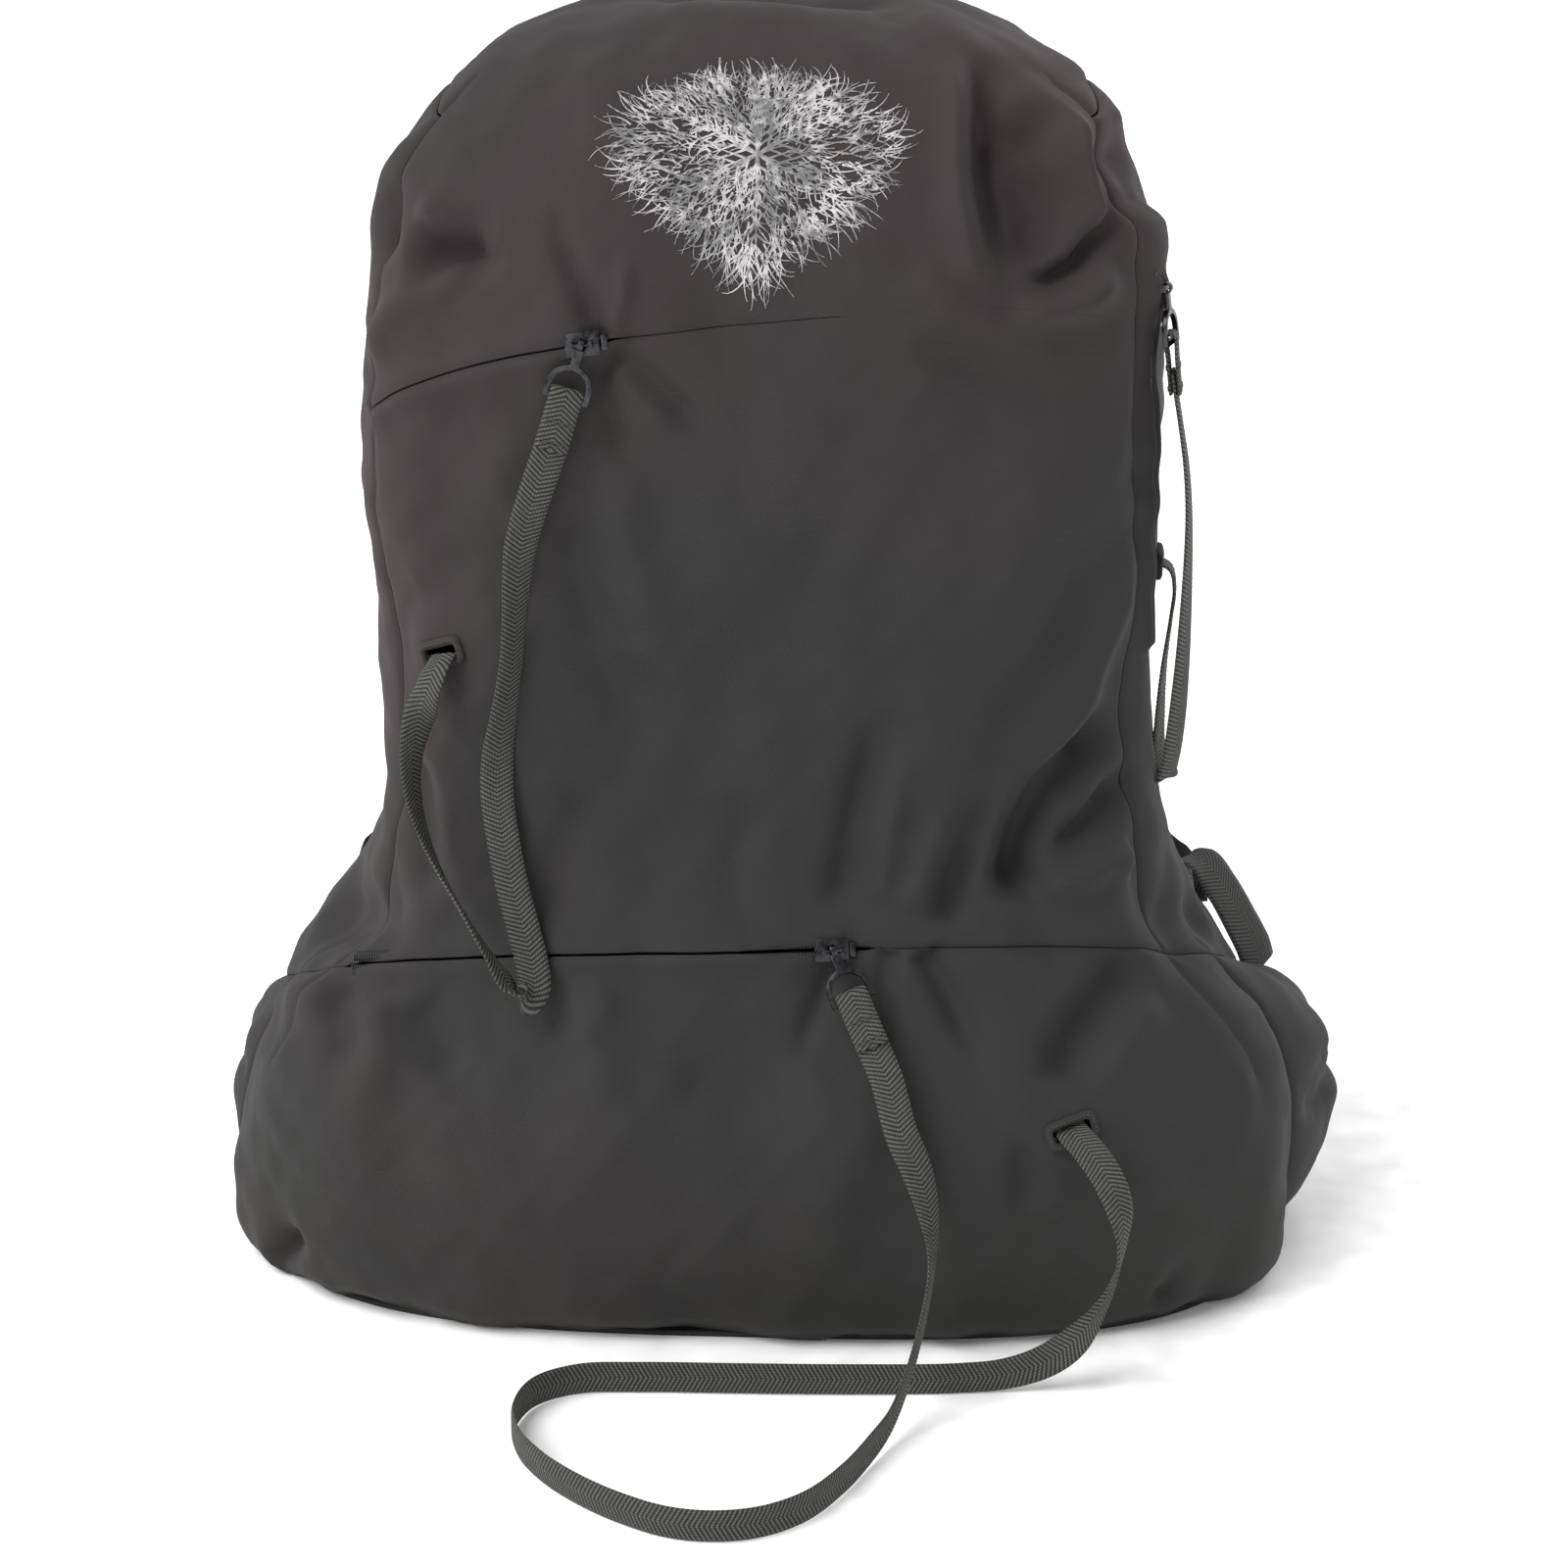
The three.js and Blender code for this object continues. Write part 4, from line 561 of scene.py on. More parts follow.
# Each fold: its height (below zero for a valley), its width, how it fades at its two ends
# (share of its length), and the places it passes.
FOLDS = [
    (-9, 7, 0.25, 0.3, [(80, -26, 464), (79, -46, 447), (79, -57, 428), (83, -64, 407), (90, -66, 390)]),
    (-10, 15, 0.2, 0.3, [(90, -40, 450), (93, -53, 428), (99, -60, 408), (110, -58, 394)]),
    (5, 6, 0.3, 0.3, [(69, -30, 464), (69, -52, 441), (70, -63, 419), (75, -68, 396), (90, -69, 380)]),
    (6, 6, 0.3, 0.3, [(104, -30, 446), (112, -43, 428), (119, -46, 411), (122, -46, 396)]),
    (-8, 5, 0.3, 0.3, [(91, -66, 390), (103, -62, 388), (114, -57, 393), (123, -47, 404), (128, -38, 413)]),
    (-7, 34, 0.3, 0.3, [(128, -20, 442), (138, -24, 420), (142, -28, 402)]),
    (6, 9, 0.3, 0.3, [(84, -70, 382), (100, -66, 379), (114, -60, 382), (128, -46, 392)]),
    (-9, 10, 0.3, 0.3, [(-125, -49, 392), (-114, -57, 395), (-101, -61, 399), (-88, -66, 402)]),
    (5, 6, 0.3, 0.2, [(-122, -45, 412), (-113, -54, 407), (-99, -61, 403), (-90, -65, 396)]),
    (4, 7, 0.2, 0.3, [(-99, -64, 392), (-110, -60, 386), (-122, -52, 378), (-131, -46, 366), (-138, -40, 346)]),
    (-4, 7, 0.3, 0.3, [(-131, -30, 418), (-132, -38, 402), (-131, -43, 386)]),
    (-3.5, 5, 0.05, 0.5, [(-55, -74, 368), (-60, -73, 384), (-67, -69, 400), (-70, -60, 418)]),
    (2.2, 4, 0.1, 0.5, [(-50, -74, 370), (-46, -74, 386), (-44, -70, 404)]),
    (-3, 5, 0.05, 0.5, [(-52, -75, 366), (-38, -77, 356), (-22, -78, 342), (-8, -79, 326)]),
    (2, 5, 0.1, 0.5, [(-50, -76, 360), (-36, -78, 346), (-26, -79, 330)]),
    (-3, 5, 0.05, 0.5, [(-57, -75, 362), (-55, -77, 350), (-49, -78, 336), (-42, -79, 318)]),
    (-4, 14, 0.3, 0.4, [(-70, -77, 338), (-65, -79, 305), (-56, -80, 262), (-44, -82, 222), (-41, -83, 190)]),
    (3, 12, 0.3, 0.4, [(-52, -78, 340), (-46, -80, 300), (-36, -81, 262), (-24, -82, 226)]),
    (3.5, 9, 0.3, 0.4, [(40, -74, 384), (61, -71, 387), (81, -70, 374), (106, -65, 360), (121, -58, 352)]),
    (-2.5, 8, 0.3, 0.4, [(52, -76, 372), (72, -73, 362), (96, -69, 350)]),
    (-4, 8, 0.3, 0.2, [(46, -82, 240), (42, -82, 223), (35, -84, 190), (30, -90, 157)]),
    (2.5, 6, 0.3, 0.2, [(54, -82, 224), (48, -84, 192), (43, -89, 160)]),
    (-5, 8, 0.3, 0.2, [(92, -77, 212), (81, -79, 193), (72, -83, 172), (66, -89, 154)]),
    (3, 6, 0.3, 0.2, [(70, -81, 204), (62, -83, 180), (58, -88, 160)]),
    (-10, 10, 0.25, 0.15, [(128, -55, 232), (121, -61, 218), (107, -70, 203), (97, -76, 187), (91, -82, 164)]),
    (5, 7, 0.3, 0.2, [(92, -80, 206), (84, -82, 188), (80, -86, 166)]),
    (-6, 7, 0.3, 0.3, [(138, -42, 205), (129, -55, 194), (117, -66, 184), (106, -74, 174)]),
    (6, 8, 0.2, 0.2, [(100, -78, 167), (113, -72, 171), (125, -64, 174), (138, -52, 172)]),
    (4, 8, 0.3, 0.3, [(136, -50, 300), (126, -58, 258), (115, -65, 224), (99, -75, 196)]),
    (-3.5, 12, 0.3, 0.3, [(129, -56, 320), (113, -66, 268), (90, -76, 226), (70, -82, 186)]),
    (-2.3, 20, 0.15, 0.15, [(-96, -74, 352), (-110, -68, 322), (-111, -67, 300), (-107, -65, 262)]),
    (-8, 16, 0.2, 0.2, [(-138, -78, 162), (-155, -55, 147), (-163, -25, 135), (-166, 5, 123)]),
    (4, 11, 0.2, 0.2, [(-160, -76, 118), (-173, -50, 108), (-181, -20, 97)]),
    (-6, 14, 0.2, 0.2, [(146, -72, 166), (157, -52, 152), (165, -25, 140), (168, 5, 128)]),
    (5, 22, 0.3, 0.3, [(-176, -78, 8), (-190, -50, 10), (-196, -20, 12)]),
    (4, 20, 0.3, 0.3, [(170, -82, 8), (186, -54, 10), (194, -20, 12)]),
    (-4, 9, 0.3, 0.2, [(-134, -48, 214), (-126, -60, 184), (-122, -71, 156)]),
    (-3, 10, 0.3, 0.2, [(-58, -81, 214), (-72, -82, 182), (-80, -88, 152)]),
    (-2, 8, 0.3, 0.2, [(0, -82, 214), (-6, -84, 184), (-10, -90, 156)]),
    (-7, 11, 0.2, 0.3, [(142, -66, 142), (132, -78, 132), (118, -95, 116), (102, -110, 98)]),
    (3.5, 8, 0.3, 0.3, [(150, -70, 128), (136, -86, 114), (120, -103, 96)]),
    (-3, 18, 0.3, 0.3, [(-34, -111, 108), (-6, -113, 102), (24, -111, 108)]),
    (3, 9, 0.2, 0.3, [(-53, -96, 138), (-60, -105, 117), (-45, -115, 98)]),
    (-4, 6, 0.05, 0.5, [(60, -90, 149), (68, -94, 137), (78, -101, 121), (84, -108, 106)]),
    (-3, 5, 0.05, 0.5, [(49, -91, 149), (47, -100, 127), (52, -110, 107)]),
    (-3, 5, 0.05, 0.5, [(30, -93, 146), (22, -102, 128), (14, -110, 108)]),
    (-3, 7, 0.2, 0.5, [(101, -113, 86), (99, -117, 68), (104, -116, 48)]),
    (-5, 5, 0.1, 0.4, [(-186, -66, 6), (-179, -78, 18), (-170, -90, 30)]),
    (-4, 6, 0.2, 0.4, [(150, -96, 8), (154, -92, 24), (160, -84, 40)]),
    (-4, 10, 0.2, 0.4, [(-160, -63, 124), (-152, -84, 106), (-158, -93, 84)]),
    (-3, 9, 0.2, 0.4, [(-126, -84, 126), (-114, -99, 112), (-116, -108, 94)]),
    (2.5, 9, 0.2, 0.4, [(-142, -78, 122), (-136, -94, 104), (-140, -102, 84)]),
    (-3, 7, 0.2, 0.3, [(196, -30, 64), (199, -10, 56), (200, 14, 60), (192, 44, 70)]),
    (-5, 8, 0.2, 0.3, [(178, 6, 104), (188, 16, 82), (192, 30, 56), (190, 40, 30)]),
    (-4, 7, 0.2, 0.3, [(178, 40, 96), (186, 44, 74), (188, 48, 44)]),
    (3, 8, 0.2, 0.3, [(182, 24, 100), (192, 30, 78), (194, 40, 50)]),
    (-5, 8, 0.2, 0.3, [(-178, 6, 104), (-188, 20, 80), (-190, 38, 46)]),
    (3, 8, 0.2, 0.3, [(-184, 30, 96), (-192, 34, 70), (-190, 46, 36)]),
    (-6, 14, 0.3, 0.3, [(146, 20, 330), (144, 14, 290), (147, 8, 250), (150, 0, 214)]),
    (-5, 12, 0.3, 0.3, [(142, 40, 260), (146, 28, 220), (156, 14, 180), (168, 4, 146)]),
    (4, 10, 0.3, 0.3, [(146, 34, 300), (146, 40, 240), (152, 30, 190)]),
    (-5, 12, 0.3, 0.3, [(-146, 24, 320), (-144, 10, 270), (-150, 0, 220), (-158, -10, 182)]),
    (-5, 12, 0.3, 0.3, [(-142, 44, 240), (-150, 28, 200), (-164, 12, 160)]),
    (4, 10, 0.3, 0.3, [(-147, 36, 290), (-147, 30, 230), (-156, 20, 184)]),
    (-4, 12, 0.3, 0.3, [(-60, 30, 476), (-30, 6, 480), (10, 0, 480), (60, 14, 476)]),
    (3, 10, 0.3, 0.3, [(-80, 34, 468), (-40, 48, 468), (20, 50, 470), (70, 38, 470)]),
    (-4, 9, 0.3, 0.3, [(40, 74, 446), (52, 60, 462), (58, 36, 474)]),
    (-4, 9, 0.3, 0.3, [(-46, 74, 446), (-60, 58, 462), (-70, 30, 472)]),
]


FOLD_DEPTH = 1.5


def ripple(points):
    """Slow unevenness of the stuffing and fine crumple of the cloth, in mm."""
    dice = random.Random(11)
    total = np.zeros(len(points))
    for count, wavelength, height in ((7, 95, 0.75), (9, 46, 0.34), (11, 21, 0.12)):
        for _ in range(count):
            way = np.array([dice.gauss(0, 1) for _ in range(3)])
            way = way / np.linalg.norm(way) * 2 * math.pi / (wavelength * dice.uniform(0.75, 1.35))
            bend = np.array([dice.gauss(0, 1) for _ in range(3)]) * 2 * math.pi / (wavelength * 3.1)
            shift = dice.uniform(0, 6.28)
            total += height * np.sin(points @ way + shift + 1.3 * np.sin(points @ bend + shift * 2))
    return total


def folded(points):
    total = np.zeros(len(points))
    for height, width, fade_in, fade_out, line in FOLDS:
        far, where = near_line(points, line)
        strength = smooth(where, 0, fade_in) * smooth(1 - where, 0, fade_out)
        share = far / width
        total += FOLD_DEPTH * height * strength * (np.exp(-share ** 2) * 0.7 + 0.3 / (1 + (share * 1.6) ** 4))
    return total


# Where each zip runs, as directions or heights, and how far it stands off the smooth surface.
ZIP_SPANS = {
    "upper": {"line": [(phi, UPPER_PLANE) for phi in np.linspace(-111, -152, 15)],
              "lift": [0, 0.9, 1.5, 1.2, 0.6, -0.1, -0.7, -0.6, 0]},
    "lower": {"line": [(phi, LOWER_PLANE) for phi in np.linspace(-77, -145, 20)],
              "lift": [0, 2.0, 2.5, 1.6, -0.2, -2.2, -3.6, -3.3, 0]},
    "side": {"line": [(-22, z) for z in np.linspace(386, 244, 20)],
             "lift": [0, -1.1, -2.4, -3.4, -3.9, -3.6, -2.6, -1.3, 0]},
}
LIP_RISE = 3.3  # the cloth's edges ride over the zip's slider plate
LIP_GAP = 1.1


def span_points(span):
    rows = []
    for phi, by in span["line"]:
        z = by if np.isscalar(by) else seam_height(phi, by)
        rows.append(skin(np.array(float(phi)), run_of(np.array(float(z)))))
    return np.array(rows)


for span in ZIP_SPANS.values():
    span["points"] = span_points(span)


def zip_lift(points):
    """The cloth follows each zip and rises in two soft welts over it."""
    total = np.zeros(len(points))
    for span in ZIP_SPANS.values():
        far, where = near_line(points, span["points"])
        follow = np.interp(where, np.linspace(0, 1, len(span["lift"])), span["lift"])
        ends = smooth(where, 0, 0.03) * smooth(1 - where, 0, 0.03)
        welt = LIP_RISE * (np.exp(-(far / 7.5) ** 2) - 0.28 * np.exp(-((far - 1) / 1.3) ** 2))
        total += follow * np.exp(-(far / 26) ** 2) + welt * ends
    return total


SLOTS = {
    "upper": (-135.0, 250.5, 20.0), "lower": (-57.4, 87.0, 16.0), "side": (-5.0, 272.0, 0.0),
}


def slot_frame(name):
    phi, z, tilt = SLOTS[name]
    place = skin(np.array(phi), run_of(np.array(z)))
    out = skin_normal(np.array(phi), run_of(np.array(z)))
    around = unit(np.cross([0, 0, 1], out))
    turn = math.radians(tilt)
    long = around * math.cos(turn) + np.cross(out, around) * math.sin(turn)
    return place, long, np.cross(out, long), out


SLOT_FRAMES = {name: slot_frame(name) for name in SLOTS}


def calm(points):
    """Folds fade where a slot is sewn in."""
    keep = np.ones(len(points))
    for place, _, _, _ in SLOT_FRAMES.values():
        keep *= smooth(np.linalg.norm(points - place, axis=1), 8, 24)
    return keep


RESTING = 0.3  # the lowest that the cloth hangs above the floor


def draped(points, normals, groove=None):
    """The cloth's surface: folds, unevenness and zips, and a groove at the seams."""
    keep = calm(points)
    back = smooth(points[:, 1], 62, 74) * smooth(points[:, 2], 30, 60)
    lift = (folded(points) + ripple(points)) * keep * (1 - 0.85 * back) + zip_lift(points)
    if groove is not None:
        lift = lift - groove
    made = points + normals * lift[:, None]
    made[:, 2] = np.maximum(made[:, 2], RESTING)
    return made


# ---------------------------------------------------------------- cloth panels


def graded(low, high, step, fine=(0, 0.5, 1.2, 2.2, 3.6, 5.4)):
    """Places from low to high, closer together near both ends."""
    span = high - low
    inner = np.arange(fine[-1], span - fine[-1], step)[1:]
    ends = np.array(fine)
    return low + np.concatenate([ends, inner, span - ends[::-1]])


def shell(name, points, normals, keep, material, closed=False, thickness=CLOTH_THICKNESS, weld=0.0):
    """A closed cloth shell from a grid of points. keep says which of its cells are there."""
    rows, columns = points.shape[:2]
    count = rows * columns
    index = np.arange(count).reshape(rows, columns)
    after = np.roll(index, -1, axis=1) if closed else index[:, 1:]
    here = index if closed else index[:, :-1]
    quads = np.stack([here[:-1], after[:-1], after[1:], here[1:]], axis=-1)[keep]
    outer = points.reshape(-1, 3)
    inner = outer - normals.reshape(-1, 3) * thickness
    edges = {}
    for quad in quads.tolist():
        for a, b in zip(quad, quad[1:] + quad[:1]):
            if (b, a) in edges:
                del edges[(b, a)]
            else:
                edges[(a, b)] = True
    faces = quads.tolist() + (quads[:, ::-1] + count).tolist()
    faces += [[b, a, a + count, b + count] for a, b in edges]
    used = np.zeros(2 * count, bool)
    used[np.unique(np.array([i for f in faces for i in f]))] = True
    order = np.cumsum(used) - 1
    kept = np.vstack([outer, inner])[used]
    faces = [[int(order[i]) for i in f] for f in faces]
    return mesh_piece(name, kept, faces, material, weld=weld)


def grid_normals(points, closed=False):
    """Normals of a draped grid, from its own rows and columns."""
    if closed:
        wide = np.concatenate([points[:, -1:], points, points[:, :1]], axis=1)
        around = wide[:, 2:] - wide[:, :-2]
    else:
        around = np.gradient(points, axis=1)
    return unit(np.cross(around, np.gradient(points, axis=0)))


SEAM_DEPTH = 1.7


def seam_groove(points, lines):
    """How deep the cloth dips beside each seam. lines are (points, strength per point)."""
    total = np.zeros(len(points))
    for line, strength in lines:
        far, where = near_line(points, line)
        s = np.interp(where, np.linspace(0, 1, len(strength)), strength)
        total = np.maximum(total, s * SEAM_DEPTH * (0.55 * np.exp(-(far / 1.4) ** 2)
                                                    + 0.45 * np.exp(-(far / 5.5) ** 2)))
    return total


def side_line(phi, low, high):
    runs = np.linspace(run_of(np.array(low)), run_of(np.array(high)), 40)
    return skin(np.full(len(runs), phi), runs)


def plane_line(phi_from, phi_to, plane):
    phis = np.linspace(phi_from, phi_to, 90)
    return skin(phis, run_of(seam_height(phis, plane)))


def crown(phi):
    """The height of the hood's edge over the sides and the back."""
    turned = np.abs((np.asarray(phi, float) + 90 + 180) % 360 - 180)
    return 440 + 8 * smooth(turned, 60, 84)


def crown_line(phi_from, phi_to):
    phis = np.linspace(phi_from, phi_to, 90)
    return skin(phis, run_of(crown(phis)))


plain = np.ones(2)
# The front's upper seam is a zip on the left, then a pucker that fades out.
UPPER_SEAM = (plane_line(FRONT_LEFT, FRONT_RIGHT, UPPER_PLANE),
              np.interp(np.linspace(0, 1, 90), [0, 0.30, 0.36, 0.52, 0.60, 1], [0, 0, 1.2, 0.5, 0, 0]))
LOWER_SEAM = (plane_line(FRONT_LEFT - 40, FRONT_RIGHT + 70, LOWER_PLANE),
              np.interp(np.linspace(0, 1, 90), [0, 0.18, 0.2, 0.45, 0.47, 1], [1, 1, 0, 0, 1.2, 1]))
FRONT_SEAMS = [(side_line(phi, 90, 452), plain) for phi in (FRONT_LEFT, FRONT_RIGHT)]
BACK_SEAMS = [(side_line(phi, 2, 452), plain) for phi in (BACK_LEFT, BACK_RIGHT)]
WING_SEAMS = [(side_line(phi, 2, 130), plain) for phi in (WING_LEFT, WING_RIGHT)]
CROWN_SEAM = [(crown_line(FRONT_RIGHT, 210), plain)]
WING_BAND = [(skin(np.linspace(-12, 36, 40), np.full(40, 68.0)), plain),
             (skin(np.linspace(144, 192, 40), np.full(40, 68.0)), plain)]
SEAMS = [UPPER_SEAM, LOWER_SEAM, *FRONT_SEAMS, *BACK_SEAMS, *WING_SEAMS, *CROWN_SEAM]


def bulged(points, phi, z):
    """The wings at the base stand out behind the pocket."""
    across = np.where(np.cos(np.radians(phi)) > 0, (phi - WING_RIGHT) / (BACK_RIGHT - WING_RIGHT),
                      (360 + WING_LEFT - phi) / (360 + WING_LEFT - BACK_LEFT))
    inside = (across > 0) & (across < 1)
    top = LOWER_PLANE[0] + LOWER_PLANE[1] * points[:, 0] + LOWER_PLANE[2] * points[:, 1]
    swell = np.where(points[:, 0] > 0, 22, 9)
    return np.where(inside, swell * np.sin(math.pi * np.clip(across, 0, 1)) ** 0.8
                    * np.sin(math.pi * np.clip(z / top, 0, 1)) ** 0.8, 0)


def cloth_grid(phis, runs, swell=False, seams=SEAMS):
    """Draped points and normals over directions phis and runs, one row of runs per row."""
    phi = np.broadcast_to(phis, runs.shape)
    base, normal = skin(phi, runs), skin_normal(phi, runs)
    flat, out = base.reshape(-1, 3), normal.reshape(-1, 3)
    groove = seam_groove(flat, seams)
    if swell:
        groove = groove - bulged(flat, phi.reshape(-1), flat[:, 2])
    return draped(flat, out, groove).reshape(base.shape), normal


def slot_hole(points, name):
    """Which cells of a grid lie over a slot."""
    place, long, short, _ = SLOT_FRAMES[name]
    centre = (points[:-1, :-1] + points[1:, 1:]) / 2 - place
    near = np.linalg.norm(centre, axis=-1) < 20
    return near & (np.abs(centre @ long) < 7.4) & (np.abs(centre @ short) < 2.6)


def fit_runs(low, high, step, fine):
    """Rows of runs between a lower and an upper edge that both change with direction."""
    share = graded(0.0, 1.0, step, fine)
    return low[None, :] + (high - low)[None, :] * share[:, None]


def add_panel(name, obj):
    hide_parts(name)
    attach(obj, ROOT)
    return obj


def share_steps(span):
    return tuple(x / span for x in (0, 0.5, 1.2, 2.2, 3.6, 5.4))


def zip_gap(phi, first, last):
    """Half the gap between the cloth's edges along a zip; a seam is nearly closed."""
    low, high = min(first, last), max(first, last)
    return 0.12 + (LIP_GAP / 2 - 0.12) * smooth(phi, low - 2, low) * smooth(-phi, -high - 2, -high)


SIDE_FINE = (0, 0.22, 0.5, 0.9, 1.5, 2.3)
SEAM_HALF = 0.08  # degrees between a panel's edge and its seam

# The front panel
front_phis = graded(FRONT_LEFT + SEAM_HALF, FRONT_RIGHT - SEAM_HALF, 0.75, SIDE_FINE)
upper_edge = seam_height(front_phis, UPPER_PLANE)
upper_half = zip_gap(front_phis, -110, -153) * np.where(front_phis > -78, 0, 1)
lower_edge = seam_height(front_phis, LOWER_PLANE)
lower_half = zip_gap(front_phis, -76, -146) * 1.12
front_runs = fit_runs(lower_edge + lower_half, upper_edge - upper_half, 2.1 / 230, share_steps(230))
front_points, _ = cloth_grid(front_phis, front_runs)
front_keep = ~slot_hole(front_points, "upper")
front = shell("front_cloth", front_points, grid_normals(front_points), front_keep, CLOTH)
add_panel("front_panel", front)

# The hood: the top of the front, and the cap that goes all round
hood_left = np.concatenate([front_phis, graded(FRONT_RIGHT + SEAM_HALF, 360 + FRONT_LEFT - SEAM_HALF, 1.0,
                                               SIDE_FINE)])
in_front = hood_left < FRONT_RIGHT
hood_low = np.where(in_front, seam_height(np.where(in_front, hood_left, -90.0), UPPER_PLANE), 367.0)
hood_low = hood_low + np.where(in_front, zip_gap(hood_left, -110, -153) * np.where(hood_left > -78, 0, 1), 0)
low_rows = fit_runs(run_of(hood_low), run_of(crown(hood_left) + 0.25), 2.2 / 74, share_steps(74))
cap_rows = fit_runs(run_of(crown(hood_left) + 0.25), np.full(len(hood_left), SHOULDER + DOME_RUN - 0.02),
                    2.4 / 75, share_steps(150))
hood_runs = np.vstack([low_rows, cap_rows[1:]])
hood_points, _ = cloth_grid(hood_left, hood_runs)
hood_keep = np.ones((len(hood_runs) - 1, len(hood_left)), bool)
both_front = in_front & np.roll(in_front, -1)
hood_keep[:len(low_rows) - 1, ~both_front] = False
hood_points[-1] = hood_points[-1].mean(axis=0)
hood_normals = grid_normals(hood_points, closed=True)
hood_normals[-1] = (0, 0, 1)
hood = shell("hood_cloth", hood_points, hood_normals, hood_keep, CLOTH, closed=True, weld=0.02)
add_panel("hood_panel", hood)

# The lower pocket
pocket_phis = graded(WING_LEFT + SEAM_HALF, WING_RIGHT - SEAM_HALF, 0.62, SIDE_FINE)
pocket_top = seam_height(pocket_phis, LOWER_PLANE) - zip_gap(pocket_phis, -76, -146) * 1.12
pocket_runs = fit_runs(np.full(len(pocket_phis), 0.3), pocket_top, 2.2 / 140, share_steps(140))
pocket_points, _ = cloth_grid(pocket_phis, pocket_runs)
pocket_keep = ~slot_hole(pocket_points, "lower")
pocket = shell("pocket_cloth", pocket_points, grid_normals(pocket_points), pocket_keep, CLOTH)
add_panel("lower_pocket_panel", pocket)

# The sides. The right one is slit along its zip.
slit = math.degrees(LIP_GAP / 2 / 145)
right_phis = np.concatenate([
    graded(FRONT_RIGHT + SEAM_HALF, -22 - slit, 0.9, SIDE_FINE),
    graded(-22 + slit, BACK_RIGHT - SEAM_HALF, 0.9, SIDE_FINE)])
right_runs = fit_runs(seam_height(right_phis, LOWER_PLANE) + 0.15, run_of(crown(right_phis) - 0.25),
                      2.3 / 330, share_steps(330))
right_points, _ = cloth_grid(right_phis, right_runs)
right_keep = ~slot_hole(right_points, "side")
slit_column = int(np.searchsorted(right_phis, -22.0)) - 1
slit_rows = (right_runs[:-1, slit_column] > 244) & (right_runs[1:, slit_column] < 386)
right_keep[slit_rows, slit_column] = False
add_panel("right_side_panel", shell("right_side_cloth", right_points, grid_normals(right_points),
                                    right_keep, CLOTH))
left_phis = graded(BACK_LEFT + SEAM_HALF, 360 + FRONT_LEFT - SEAM_HALF, 0.9, SIDE_FINE)
left_runs = fit_runs(seam_height(left_phis, LOWER_PLANE) + 0.15, run_of(crown(left_phis) - 0.25),
                     2.3 / 330, share_steps(330))
left_points, _ = cloth_grid(left_phis, left_runs)
left_keep = np.ones((len(left_runs) - 1, len(left_phis) - 1), bool)
add_panel("left_side_panel", shell("left_side_cloth", left_points, grid_normals(left_points),
                                   left_keep, CLOTH))

# The back, and the wings at the base
back_phis = graded(BACK_RIGHT + SEAM_HALF, BACK_LEFT - SEAM_HALF, 1.1, SIDE_FINE)
back_runs = fit_runs(np.full(len(back_phis), 0.3), run_of(crown(back_phis) - 0.25), 3.0 / 440, share_steps(440))
back_points, _ = cloth_grid(back_phis, back_runs)
back_keep = np.ones((len(back_runs) - 1, len(back_phis) - 1), bool)
add_panel("back_panel", shell("back_cloth", back_points, grid_normals(back_points), back_keep, CLOTH))


def wing(name, first, last):
    phis = graded(first + SEAM_HALF, last - SEAM_HALF, 0.7, SIDE_FINE)
    runs = fit_runs(np.full(len(phis), 0.3), seam_height(phis, LOWER_PLANE) - 0.15, 2.2 / 100, share_steps(100))
    points, _ = cloth_grid(phis, runs, swell=True, seams=SEAMS + WING_BAND)
    keep = np.ones((len(runs) - 1, len(phis) - 1), bool)
    add_panel(name, shell(name.replace("panel", "cloth"), points, grid_normals(points), keep, CLOTH))


wing("right_wing_panel", WING_RIGHT, BACK_RIGHT)
wing("left_wing_panel", BACK_LEFT, 360 + WING_LEFT)


def flat_outline(z, inset, step=2.0):
    phis = np.arange(-180, 180, step)
    runs = np.full(len(phis), float(z))
    return skin(phis, runs) - skin_normal(phis, runs) * [inset, inset, 0]


def flat_sheet(name, z, inset, thickness, material, sag=0.0):
    """A level sheet that fills the bag's outline: rings that shrink to its middle."""
    edge = flat_outline(z, inset)
    middle = edge.mean(axis=0)
    shares = np.concatenate([[1.0, 0.996, 0.985], np.linspace(0.96, 0.0, 24)])
    rings = []
    for share in shares:
        ring = middle + (edge - middle) * share
        ring[:, 2] = z - sag * (1 - share ** 2) - (0.35 * thickness if share == 1.0 else 0)
        rings.append(ring)
    points = np.array(rings)
    normals = np.zeros_like(points)
    normals[..., 2] = 1
    keep = np.ones((len(points) - 1, points.shape[1]), bool)
    return shell(name, points, normals, keep, material, closed=True, thickness=thickness, weld=0.02)


base = flat_sheet("base_cloth", 1.6, 1.2, 1.6, LINING)
add_panel("base_panel", base)
divider = flat_sheet("divider_cloth", 109.2, 20, 1.2, LINING, sag=6)
add_panel("divider_panel", divider)

# ---------------------------------------------------------------- stitches and coils along lines


def group_socket(tree, name, kind, default=None, output=False):
    socket = tree.interface.new_socket(name, in_out="OUTPUT" if output else "INPUT", socket_type=kind)
    if default is not None:
        socket.default_value = default
    return socket.identifier


